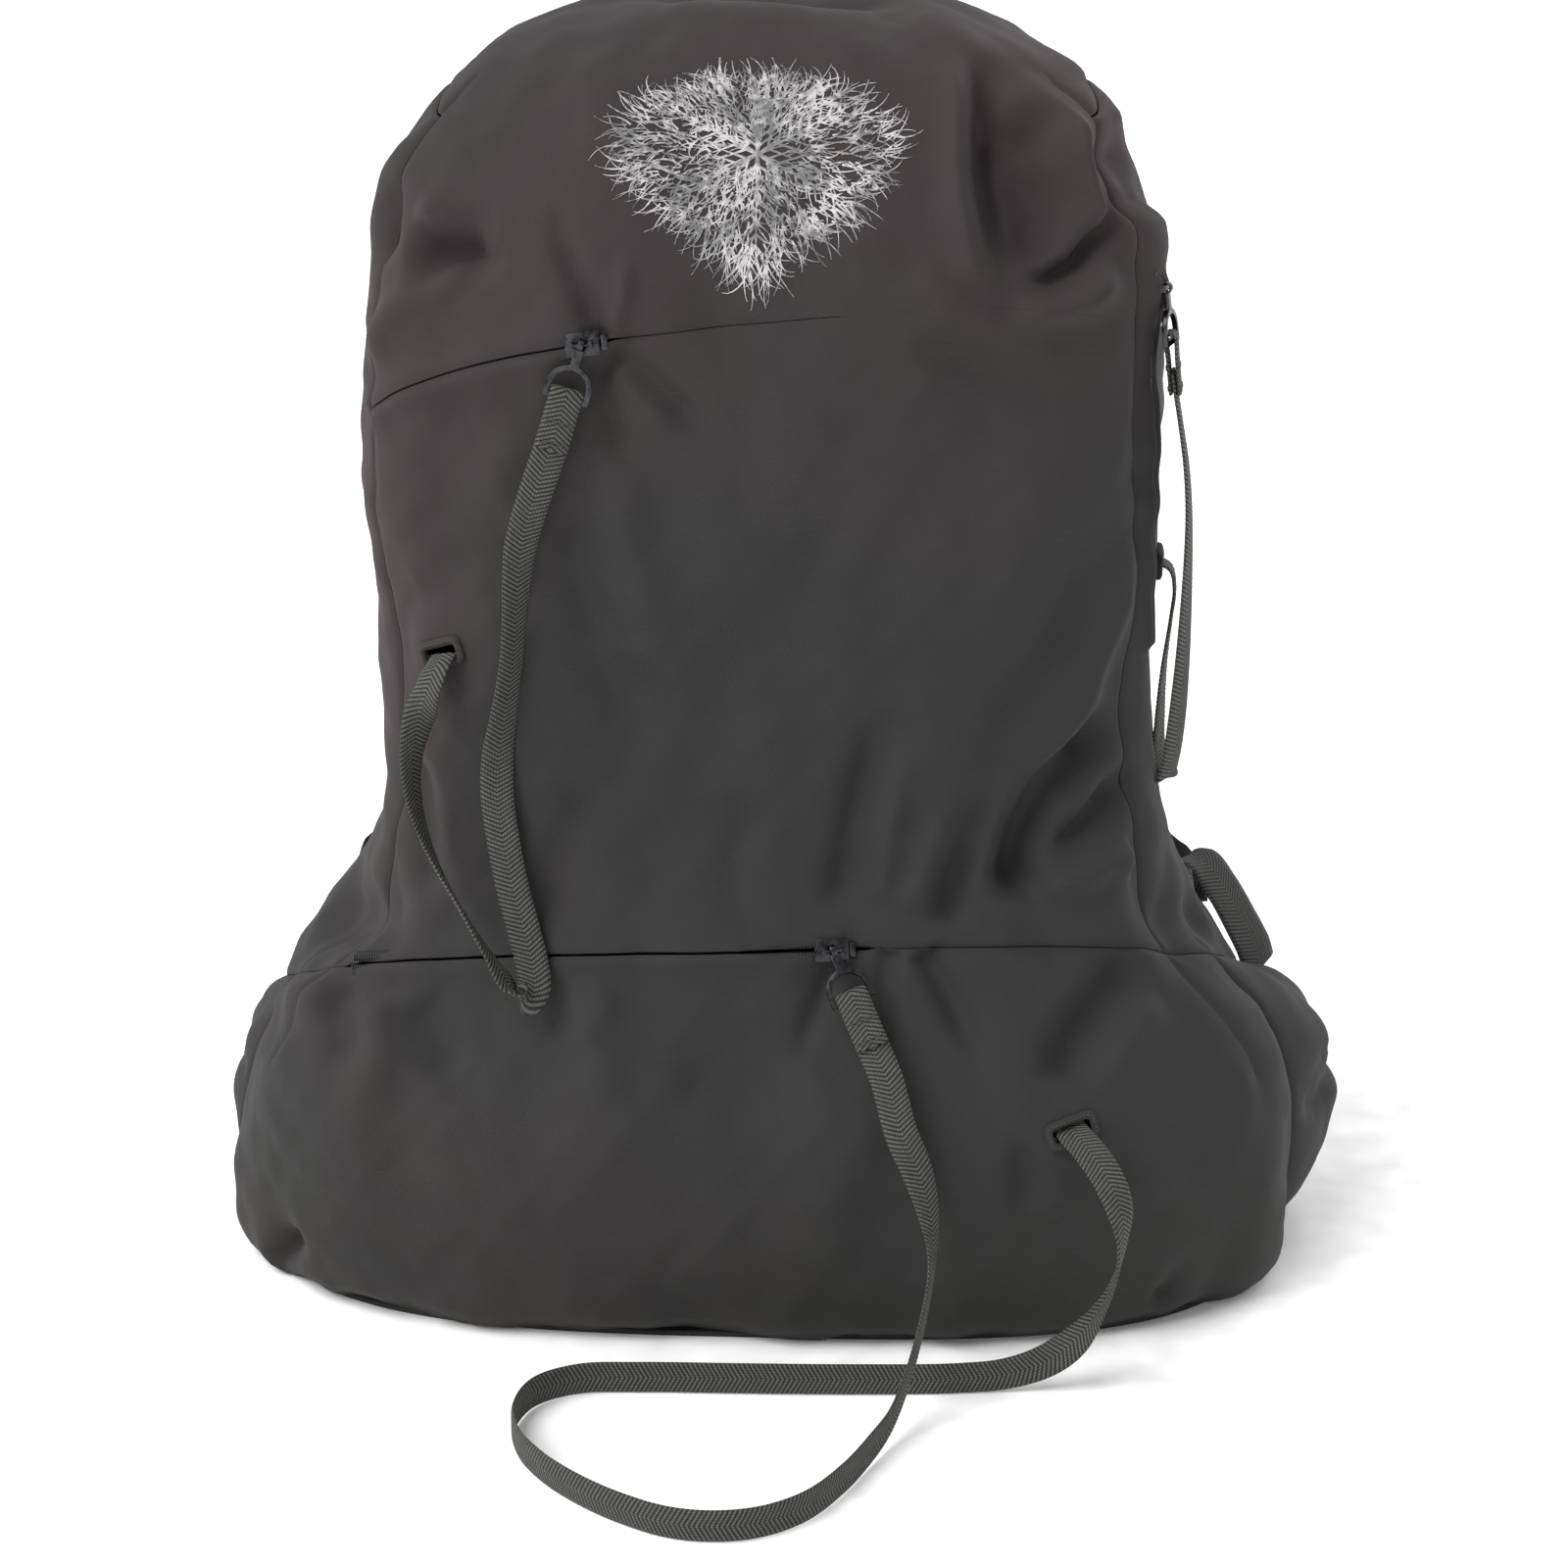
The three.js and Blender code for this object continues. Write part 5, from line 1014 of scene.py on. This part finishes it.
def row_tree(name):
    """Repeats a small bead along every curve, turned to follow it."""
    tree = bpy.data.node_groups.new(name, "GeometryNodeTree")
    keys = {"Curve": group_socket(tree, "Curve", "NodeSocketGeometry")}
    for label, value in (("Spacing", 0.003), ("Bead Length", 0.002), ("Bead Width", 0.0006), ("Lean", 0.0)):
        keys[label] = group_socket(tree, label, "NodeSocketFloat", value)
    keys["Finish"] = group_socket(tree, "Finish", "NodeSocketMaterial")
    group_socket(tree, "Mesh", "NodeSocketGeometry", output=True)
    start, end = tree.nodes.new("NodeGroupInput"), tree.nodes.new("NodeGroupOutput")

    def node(kind, **inputs):
        made = tree.nodes.new(kind)
        for key, value in inputs.items():
            key = key.replace("_", " ")
            if isinstance(value, bpy.types.NodeSocket):
                tree.links.new(value, made.inputs[key])
            else:
                made.inputs[key].default_value = value
        return made

    points = tree.nodes.new("GeometryNodeCurveToPoints")
    points.mode = "LENGTH"
    tree.links.new(start.outputs["Curve"], points.inputs["Curve"])
    tree.links.new(start.outputs["Spacing"], points.inputs["Length"])
    size = tree.nodes.new("ShaderNodeCombineXYZ")
    for axis, label in (("X", "Bead Width"), ("Y", "Bead Width"), ("Z", "Bead Length")):
        tree.links.new(start.outputs[label], size.inputs[axis])
    bead = node("GeometryNodeMeshUVSphere", Segments=6, Rings=4, Radius=0.5)
    turn = tree.nodes.new("ShaderNodeCombineXYZ")
    tree.links.new(start.outputs["Lean"], turn.inputs["Y"])
    whole = tree.nodes.new("FunctionNodeRotateRotation")
    whole.rotation_space = "LOCAL"
    tree.links.new(points.outputs["Rotation"], whole.inputs["Rotation"])
    lean = tree.nodes.new("FunctionNodeEulerToRotation")
    tree.links.new(turn.outputs["Vector"], lean.inputs["Euler"])
    tree.links.new(lean.outputs["Rotation"], whole.inputs["Rotate By"])
    placed = tree.nodes.new("GeometryNodeInstanceOnPoints")
    tree.links.new(points.outputs["Points"], placed.inputs["Points"])
    tree.links.new(bead.outputs["Mesh"], placed.inputs["Instance"])
    tree.links.new(whole.outputs["Rotation"], placed.inputs["Rotation"])
    tree.links.new(size.outputs["Vector"], placed.inputs["Scale"])
    real = tree.nodes.new("GeometryNodeRealizeInstances")
    tree.links.new(placed.outputs["Instances"], real.inputs["Geometry"])
    paint = tree.nodes.new("GeometryNodeSetMaterial")
    tree.links.new(real.outputs["Geometry"], paint.inputs["Geometry"])
    tree.links.new(start.outputs["Finish"], paint.inputs["Material"])
    tree.links.new(paint.outputs["Geometry"], end.inputs["Mesh"])
    return tree, keys


ROW_TREE, ROW_KEYS = row_tree("bead_row")


def bead_row(name, lines, spacing, length, width, finish, lean=0.0):
    """A mesh of beads along lines of points in mm. spacing, length and width are in mm."""
    curve = bpy.data.curves.new(name + "_line", "CURVE")
    curve.dimensions = "3D"
    for line in lines:
        spline = curve.splines.new("POLY")
        spline.points.add(len(line) - 1)
        spline.points.foreach_set("co", np.hstack([np.asarray(line) * MM, np.ones((len(line), 1))]).ravel())
    carrier = bpy.data.objects.new(name + "_line", curve)
    bpy.context.scene.collection.objects.link(carrier)
    rows = carrier.modifiers.new("rows", "NODES")
    rows.node_group = ROW_TREE
    for label, value in (("Spacing", spacing * MM), ("Bead Length", length * MM), ("Bead Width", width * MM),
                         ("Lean", lean), ("Finish", finish)):
        rows[ROW_KEYS[label]] = value
    bpy.context.view_layer.update()
    seen = carrier.evaluated_get(bpy.context.evaluated_depsgraph_get())
    data = bpy.data.meshes.new_from_object(seen)
    data.name = name
    obj = bpy.data.objects.new(name, data)
    bpy.context.scene.collection.objects.link(obj)
    bpy.data.objects.remove(carrier)
    data.polygons.foreach_set("use_smooth", [True] * len(data.polygons))
    return obj


# ---------------------------------------------------------------- zips


def merged_node(name):
    """A welded copy of a node's mesh."""
    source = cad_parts[name]
    data = source.data.copy()
    made = bmesh.new()
    made.from_mesh(data)
    bmesh.ops.remove_doubles(made, verts=made.verts, dist=1e-6)
    bmesh.ops.dissolve_limit(made, angle_limit=0.02, verts=made.verts, edges=made.edges)
    made.to_mesh(data)
    made.free()
    return data


def refined(node, body, finish, bevel, segments=2):
    """A metal or plastic piece with its edges rounded."""
    data = merged_node(node)
    data.materials.clear()
    data.materials.append(finish)
    obj = bpy.data.objects.new(node + "_finished", data)
    bpy.context.scene.collection.objects.link(obj)
    soft = obj.modifiers.new("rounded", "BEVEL")
    soft.width = bevel * MM
    soft.segments = segments
    soft.limit_method = "ANGLE"
    soft.angle_limit = math.radians(32)
    soft.harden_normals = False
    data.polygons.foreach_set("use_smooth", [True] * len(data.polygons))
    seen = obj.evaluated_get(bpy.context.evaluated_depsgraph_get())
    obj.data = bpy.data.meshes.new_from_object(seen)
    obj.modifiers.clear()
    sharp = obj.modifiers.new("creases", "EDGE_SPLIT")
    sharp.split_angle = math.radians(40)
    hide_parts(node)
    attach(obj, body)
    return obj


def zip_frames(name):
    """Points, across and outward directions of a zip, along the middle between its two halves."""
    span = ZIP_SPANS[name]
    line = span["points"]
    phi = np.array([row[0] for row in span["line"]], float)
    out = skin_normal(phi, run_of(line[:, 2]))
    lift = np.interp(np.linspace(0, 1, len(line)), np.linspace(0, 1, len(span["lift"])), span["lift"])
    rows = np.hstack([line + out * lift[:, None], out])
    fine, at = curve_line(rows, 1.0)
    keep = (at > 2.2) & (at < at[-1] - 2.2)
    fine, at = fine[keep], at[keep] - 2.2
    out = unit(fine[:, 3:])
    along = unit(np.gradient(fine[:, :3], axis=0))
    out = unit(out - (out * along).sum(1, keepdims=True) * along)
    return fine[:, :3], at, np.cross(out, along), out


for zip_name in ("upper", "lower", "side"):
    middle, at, across, out = zip_frames(zip_name)
    for half, sign in (("top", 1), ("bottom", -1)):
        flip = -sign if zip_name != "side" else sign
        tape = strip(f"{zip_name}_tape_{half}", middle + across * flip * 2.75, across, at, 3.7, 0.75, TAPE)
        beads = bead_row(f"{zip_name}_coil_{half}", [middle + across * flip * 1.75], 1.15, 0.85, 2.3, COIL)
        for piece in (tape, beads):
            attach(piece, ROOT)
        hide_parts(f"{zip_name}_zip_stringer_{half}")
    refined(zip_name + "_zip_slider", zip_name + "_slider", METAL, 0.28)
    refined(zip_name + "_zip_puller", zip_name + "_puller", METAL, 0.42)
    refined(zip_name + "_zip_stop", ROOT, METAL, 0.3)

# ---------------------------------------------------------------- the folded ends on the rings


def node_points(node):
    """The corners of a node's solid, in mm, each once."""
    points = np.array([tuple(v.co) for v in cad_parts[node].data.vertices]) / MM
    return np.unique(np.round(points, 2), axis=0)


def slice_middle(points, reach, low, high, ways):
    """The middle of a solid's slice, measured along three directions."""
    part = points[(reach >= low) & (reach <= high)] @ ways.T
    return ((part.min(axis=0) + part.max(axis=0)) / 2) @ ways


def folded_end(name):
    """The webbing's end: round the ring's bar, down, and stitched to itself."""
    rows, _ = curve_line(PULL_ROUTES[name], 1.0)
    points = node_points(name + "_pull_tab")
    down = unit(rows[0, :3] - points.mean(axis=0))
    for _ in range(5):
        side = unit(rows[0, 3:] - down * (rows[0, 3:] @ down))
        ways = np.array([down, side, np.cross(down, side)])
        reach = points @ down
        bar = slice_middle(points, reach, reach.min(), reach.min() + 4.6, ways)
        low = slice_middle(points, reach, reach.max() - 1.5, reach.max(), ways)
        down = unit(low - bar)
    face = np.cross(down, side)
    length = float((low - bar) @ down) + 1.0
    round_bar = 2.15
    line = []
    for t in np.linspace(0, 1, 18):
        line.append(bar + down * (length * (1 - t) + 1.2 * t) + face * (1.58 + 0.4 * t ** 4))
    for turn in np.linspace(0.12, math.pi - 0.12, 16):
        line.append(bar - down * math.sin(turn) * round_bar + face * math.cos(turn) * round_bar)
    for t in np.linspace(0, 1, 18):
        line.append(bar + down * (1.2 + (length - 1.5) * t) - face * (1.98 - 0.4 * min(1, t * 3) ** 0.5))
    line = np.array(line)
    fine, at = curve_line(np.hstack([line, np.tile(side, (len(line), 1))]), 0.45)
    band = strip(f"{name}_end_fold", fine[:, :3], fine[:, 3:], at, WEBBING_WIDTH, 1.45, CORD_WEBBING,
                 profile=yarns)
    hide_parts(name + "_pull_tab")
    tack = []
    for share in (0.5, 0.88):
        for offset in (-0.5, 0.5):
            for sheet in (1.75, -1.75):
                centre = bar + down * (length * share + offset) + face * sheet * 1.36
                tack.append([centre - side * 4.6, centre + side * 4.6])
    stitches = bead_row(f"{name}_bar_tacks", tack, 0.8, 0.95, 0.5, THREAD, lean=0.5)
    for piece in (band, stitches):
        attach(piece, name + "_puller")


for pull in PULL_ROUTES:
    folded_end(pull)

# ---------------------------------------------------------------- slots


def slot_rim(name):
    """The rim sewn round a slot: a soft ring of cloth with a row of stitches."""
    place, long, short, out = SLOT_FRAMES[name]
    turns = np.linspace(0, 2 * math.pi, 72, endpoint=False)

    def ring(half_long, half_short, lift, power=5):
        c, s = np.cos(turns), np.sin(turns)
        reach = (np.abs(c) ** power + np.abs(s) ** power) ** (-1 / power)
        flat = np.outer(c * reach * half_long, long) + np.outer(s * reach * half_short, short)
        drop = -0.0030 * (flat @ long) ** 2
        return place + flat + np.outer(drop + lift, out)

    section = [(7.3, 2.7, -1.4), (7.3, 2.7, 0.9), (7.6, 3.0, 1.45), (8.4, 3.8, 1.6), (9.4, 4.8, 1.5),
               (9.9, 5.3, 1.0), (10.1, 5.5, 0.2), (9.9, 5.3, -1.4)]
    rings = np.array([ring(*row) for row in section])
    n, m = rings.shape[:2]
    index = np.arange(n * m).reshape(n, m)
    faces = []
    for k in range(n):
        a, b = index[k], index[(k + 1) % n]
        faces += np.stack([a, b, np.roll(b, -1), np.roll(a, -1)], axis=1).tolist()
    rim = mesh_piece(f"{name}_slot_rim", rings.reshape(-1, 3), faces, CLOTH)
    fix_normals(rim)
    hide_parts(name + "_slot_patch")
    loop = ring(8.7, 4.1, 1.62)
    stitches = bead_row(f"{name}_slot_stitches", [np.vstack([loop, loop[:1]])], 1.5, 1.15, 0.42, THREAD)
    for piece in (rim, stitches):
        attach(piece, ROOT)


def fix_normals(obj):
    made = bmesh.new()
    made.from_mesh(obj.data)
    bmesh.ops.recalc_face_normals(made, faces=made.faces)
    made.to_mesh(obj.data)
    made.free()


for slot in SLOTS:
    slot_rim(slot)

# ---------------------------------------------------------------- carrying gear


def layer_points(phis, runs, offset):
    phi = np.broadcast_to(phis, runs.shape)
    return skin(phi, runs) + skin_normal(phi, runs) * offset[..., None]


def back_cushion():
    """The back pad: foam under mesh, quilted into channels."""
    phis = graded(52.7, 127.3, 0.8, SIDE_FINE)
    runs = fit_runs(np.full(len(phis), 60.5), np.full(len(phis), 409.5), 2.6 / 349, share_steps(349))
    x = skin(np.broadcast_to(phis, runs.shape), runs)[..., 0]
    z = runs
    edge = np.minimum.reduce([np.broadcast_to((phis - phis[0]) * 1.9, runs.shape),
                              np.broadcast_to((phis[-1] - phis) * 1.9, runs.shape), z - 60.5, 409.5 - z])
    crown_rise = 1 - np.exp(-(edge / 5.5) ** 1.4)
    channel = np.minimum.reduce([np.abs(np.abs(x) - 34)] + [
        np.where(np.abs(x) < 34, 60.0, np.abs(z - level - 0.12 * np.abs(x))) for level in (118, 182, 246, 310, 366)])
    quilt = 1 - 0.62 * np.exp(-(channel / 4.2) ** 2)
    offset = 0.7 + 7.9 * crown_rise * quilt
    points = layer_points(phis, runs, offset)
    keep = np.ones((len(runs) - 1, len(phis) - 1), bool)
    normals = skin_normal(np.broadcast_to(phis, runs.shape), runs)
    inner_gap = offset - 0.5
    count = points.shape[0] * points.shape[1]
    obj = shell("back_pad_cushion", points, normals * inner_gap[..., None], keep, AIR_MESH, thickness=1.0)
    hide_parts("back_pad")
    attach(obj, ROOT)


back_cushion()


def yoke_band():
    phis = graded(45.2, 134.8, 0.9, SIDE_FINE)
    low, high = run_of(np.array(413.5)), run_of(np.array(445.5))
    runs = fit_runs(np.full(len(phis), float(low)), np.full(len(phis), float(high)), 1.6 / 40, share_steps(40))
    edge = np.minimum(np.minimum(runs - low, high - runs), 9)
    offset = 1.0 + 3.8 * (1 - np.exp(-(edge / 2.2) ** 1.3))
    points = layer_points(phis, runs, offset)
    normals = skin_normal(np.broadcast_to(phis, runs.shape), runs)
    keep = np.ones((len(runs) - 1, len(phis) - 1), bool)
    obj = shell("yoke_cloth", points, normals * (offset - 0.3)[..., None], keep, CLOTH, thickness=1.0)
    add_panel("back_yoke", obj)
    lines = [points[k] for k in (6, -7)]
    rows = bead_row("yoke_stitches", lines, 3.2, 2.4, 0.5, THREAD)
    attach(rows, ROOT)


yoke_band()


def strap_section(width, thickness, count=40):
    """A padded strap's section: crowned faces and a bound edge."""
    turns = np.linspace(0, 2 * math.pi, count, endpoint=False)
    c, s = np.cos(turns), np.sin(turns)
    x = np.sign(c) * np.abs(c) ** 0.42 * width / 2
    crowned = thickness / 2 * (1 - 0.35 * np.abs(x / (width / 2)) ** 3)
    y = np.sign(s) * np.abs(s) ** 0.6 * crowned
    bound = np.exp(-((np.abs(x) - width * 0.44) / 1.2) ** 2) * 0.5
    return x, y - np.sign(s) * bound * (np.abs(s) > 0.25)


STRAP_LINE = [(68, 87.2, 436), (68, 88.6, 427), (69.5, 95, 411), (72, 104, 394), (76, 110, 372),
              (84, 116.5, 330), (93, 116.5, 280), (104, 114.5, 240), (112, 111.5, 210), (114, 110.5, 192)]


def shoulder_strap(side, sign):
    rows, at = curve_line([(sign * x, y, z, 1, 0, 0) for x, y, z in STRAP_LINE], 2.2)
    line = rows[:, :3]
    _, across, face = frames(line, rows[:, 3:])
    x, y = strap_section(54, 11)
    narrow = 1 - 0.42 * smooth(at, at[-1] - 34, at[-1])[:, None, None]
    thin = 1 - 0.5 * smooth(at, at[-1] - 26, at[-1])[:, None, None]
    thin = thin * (0.45 + 0.55 * smooth(at, 0, 14))[:, None, None]
    ripples = 1 + 0.03 * np.sin(at / 9.0)[:, None, None]
    rings = (line[:, None] + across[:, None] * x[None, :, None] * narrow
             + face[:, None] * y[None, :, None] * thin * ripples)
    n, m = rings.shape[:2]
    index = np.arange(n * m).reshape(n, m)
    faces = []
    for k in range(m):
        j = (k + 1) % m
        faces += np.stack([index[:-1, k], index[1:, k], index[1:, j], index[:-1, j]], axis=1).tolist()
    faces += [index[0].tolist(), index[-1, ::-1].tolist()]
    obj = mesh_piece(side + "_strap_pad", rings.reshape(-1, 3), faces, CLOTH)
    fix_normals(obj)
    inner = [i for i, p in enumerate(obj.data.polygons) if p.normal.y < -0.35]
    obj.data.materials.append(AIR_MESH)
    for i in inner:
        obj.data.polygons[i].material_index = 1
    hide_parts(side + "_shoulder_strap")
    rows_of = []
    for edge in (-1, 1):
        for outward in (1,):
            shift = 23.4 * narrow[:, 0]
            depth = 4.5 * thin[:, 0]
            rows_of.append((line + across * edge * shift + face * depth * outward)[8:-8])
            rows_of.append((line + across * edge * shift - face * depth * outward)[8:-8])
    stitches = bead_row(side + "_strap_stitches", rows_of, 3.2, 2.3, 0.6, THREAD)
    for piece in (obj, stitches):
        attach(piece, ROOT)


def strap_tail(side, sign):
    """The webbing below a buckle: through its lower bar, round to the wing, with a folded loop."""
    route = [
        (115, 107.2, 166, 1, 0, 0), (115, 105.8, 170.2, 1, 0, 0), (115, 108.2, 173.6, 1, 0, 0),
        (115, 112.8, 171.6, 1, 0, 0), (115.2, 113.4, 165, 1, 0, 0), (116, 111.4, 156, 1, 0, 0),
        (118.5, 109.4, 147, 1, 0.05, 0.1), (129, 107.2, 133, 0.95, 0.05, 0.25),
        (146, 98, 121.5, 0.8, -0.15, 0.5), (161, 84, 116.5, 0.5, -0.45, 0.7),
        (170.4, 72.4, 117.4, 0.35, -0.72, 0.55),
    ]
    rows, at = curve_line([(sign * x, y, z, u, v * sign if i > 5 else v, w * sign)
                           for i, (x, y, z, u, v, w) in enumerate(route)], 0.6)
    tail = strip(side + "_tail_webbing", rows[:, :3], rows[:, 3:], at, 24, 1.5, BLACK_WEBBING, profile=yarns)
    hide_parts(side + "_strap_webbing")
    head_rows, head_at = curve_line([
        (sign * 114.5, 110.6, 200, 1, 0, 0), (sign * 114.8, 112.8, 192, 1, 0, 0),
        (sign * 115, 112.9, 184, 1, 0, 0), (sign * 115, 109.8, 180.6, 1, 0, 0),
        (sign * 115, 106.6, 184, 1, 0, 0), (sign * 114.8, 106.8, 192, 1, 0, 0),
        (sign * 114.5, 108.6, 200, 1, 0, 0)], 0.6)
    head = strip(side + "_buckle_loop", head_rows[:, :3], head_rows[:, 3:], head_at, 23, 1.4, BLACK_WEBBING,
                 profile=yarns)
    bands = [tail, head]
    if side == "right":
        loop_rows, loop_at = curve_line([
            (x, y, z, 0.55, 0.8, -0.1) for x, y, z in [
                (162, 46, 108), (160, 44, 120), (159, 42, 130), (162, 40, 137), (169, 39, 136),
                (177, 38, 126), (184, 37, 114), (190, 37, 102), (193, 38, 92)]], 0.6)
        bands.append(strip("right_side_loop", loop_rows[:, :3], loop_rows[:, 3:], loop_at, 24, 1.5,
                           BLACK_WEBBING, profile=yarns))
    for piece in bands:
        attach(piece, ROOT)


for strap_side, strap_sign in (("left", -1), ("right", 1)):
    shoulder_strap(strap_side, strap_sign)
    strap_tail(strap_side, strap_sign)
    refined(strap_side + "_ladder_lock", strap_side + "_buckle", PLASTIC, 0.9, 3)


def haul_handle():
    tilt = math.radians(20)
    down = np.array([0, math.sin(tilt), -math.cos(tilt)])
    out = np.array([0, math.cos(tilt), math.sin(tilt)])
    edge = np.array([0, 81.0, 443.0])
    outline_points = [(-28, -0.5), (-28.6, 6), (-29, 15), (-26, 24), (-19.6, 29.4), (-10, 32.8), (0, 34),
                      (10, 32.8), (19.6, 29.4), (26, 24), (29, 15), (28.6, 6), (28, -0.5)]
    rows = [(*(edge + down * drop + out * 11 + np.array([x, 0, 0])), *out) for x, drop in outline_points]
    fine, at = curve_line(rows, 0.6)
    band = strip("haul_handle_webbing", fine[:, :3], fine[:, 3:], at, 22, 2.8, BLACK_WEBBING, profile=yarns)
    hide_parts("haul_handle")
    edges = [fine[8:-8, :3] + fine[8:-8, 3:] * s * 8.6 + frames(fine[:, :3], fine[:, 3:])[2][8:-8] * f
             for s in (-1, 1) for f in (1.45, -1.45)]
    stitches = bead_row("haul_handle_stitches", edges, 2.8, 2.0, 0.45, THREAD)
    for piece in (band, stitches):
        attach(piece, "handle")


haul_handle()

# ---------------------------------------------------------------- the frost print


def print_point(u, v, lift=0.22):
    """A place on the hood in front, u mm across and v mm up from the print's centre."""
    rows = np.atleast_2d(np.stack([u, v], axis=-1))
    run = run_of(np.array(432.5)) + rows[:, 1]
    z = height_of(run)
    climb = np.clip((z - SHOULDER) / DOME_RISE, 0, 1)
    shrink = np.clip(1 - climb ** DOME_ROUND, 0, 1) ** (1 / DOME_ROUND)
    half, depth = outline(np.minimum(z, SHOULDER), 1) * shrink, outline(np.minimum(z, SHOULDER), 2) * shrink
    share = np.clip(np.abs(rows[:, 0] / half), 0, 0.98)
    y = -depth * (1 - share ** 3) ** (1 / 3)
    phi = np.degrees(np.arctan2(y / depth, rows[:, 0] / half))
    flat, out = skin(phi, run), skin_normal(phi, run)
    made = draped(flat, out, seam_groove(flat, SEAMS))
    return made + out * lift, out


def print_edge(angle):
    """How far the burst reaches in a direction: wide above, drawn to a blunt point below."""
    x, y = math.cos(angle), math.sin(angle)
    wide = 1 / math.sqrt((x / 56) ** 2 + (y / (34 if y > 0 else 46)) ** 2)
    return wide * (1 - 0.13 * max(0.0, -y) * abs(x) * 3)


def frost_print():
    """A burst of fine curved strokes, branched like frost, lying on the hood."""
    dice = random.Random(29)
    strokes = []

    def stroke(u, v, angle, length, bend, width):
        count = 7
        path = []
        for k in range(count):
            path.append((u, v))
            step = length / (count - 1)
            u += math.cos(angle) * step
            v += math.sin(angle) * step
            angle += bend / (count - 1)
        strokes.append((np.array(path), width))

    for _ in range(1500):
        angle = dice.uniform(0, 2 * math.pi)
        share = math.sqrt(dice.uniform(0.015, 1.0))
        reach = print_edge(angle) * share * 0.86
        length = dice.uniform(4.5, 9.5) * (1.35 if share > 0.82 else 1.0)
        stroke(math.cos(angle) * reach, math.sin(angle) * reach, angle + dice.gauss(0, 0.42), length,
               dice.choice((-1, 1)) * dice.uniform(0.3, 1.5), dice.uniform(0.42, 0.8))
    for arm in range(6):
        way = math.pi / 2 + arm * math.pi / 3
        long = print_edge(way) * 0.78
        for k in range(9):
            reach = long * k / 9
            stroke(math.cos(way) * reach, math.sin(way) * reach, way, long / 9 + 0.6, 0, 1.5 - 0.1 * k)
            for turn in (-0.9, 0.9):
                stroke(math.cos(way) * reach, math.sin(way) * reach, way + turn, 2.5 + 9 * (1 - k / 9), 0, 1.0)
    paths = np.array([path for path, _ in strokes])
    flat = paths.reshape(-1, 2)
    places, normals = print_point(flat[:, 0], flat[:, 1])
    places = places.reshape(len(strokes), -1, 3)
    normals = normals.reshape(len(strokes), -1, 3)
    points, faces = [], []
    for (path, width), line, out in zip(strokes, places, normals):
        side = unit(np.cross(out, np.gradient(line, axis=0)))
        taper = np.linspace(1, 0.25, len(line))[:, None] * width / 2
        first = len(points)
        for k in range(len(line)):
            points += [line[k] - side[k] * taper[k], line[k] + out[k] * 0.08, line[k] + side[k] * taper[k],
                       line[k] - out[k] * 0.12]
        for k in range(len(line) - 1):
            a = first + 4 * k
            for c in range(4):
                d = (c + 1) % 4
                faces.append((a + c, a + 4 + c, a + 4 + d, a + d))
        faces += [(first, first + 1, first + 2, first + 3)[::1], tuple(len(points) - 4 + c for c in (3, 2, 1, 0))]
    obj = mesh_piece("frost_print_strokes", points, faces, PRINT, smooth=False)
    fix_normals(obj)
    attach(obj, ROOT)


frost_print()

# ---------------------------------------------------------------- boards, floor and the end

for hidden, finish in (("base_stiffener", BOARD), ("back_stiffener", BOARD)):
    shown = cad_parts[hidden]
    shown.data.materials.clear()
    shown.data.materials.append(finish)

floor = mesh_piece("floor", [(-9000, -9000, -0.2), (9000, -9000, -0.2), (9000, 9000, -0.2), (-9000, 9000, -0.2)],
                   [(0, 1, 2, 3)], moulded_plastic("pale_floor", (0.86, 0.86, 0.86), 0.75), smooth=False)
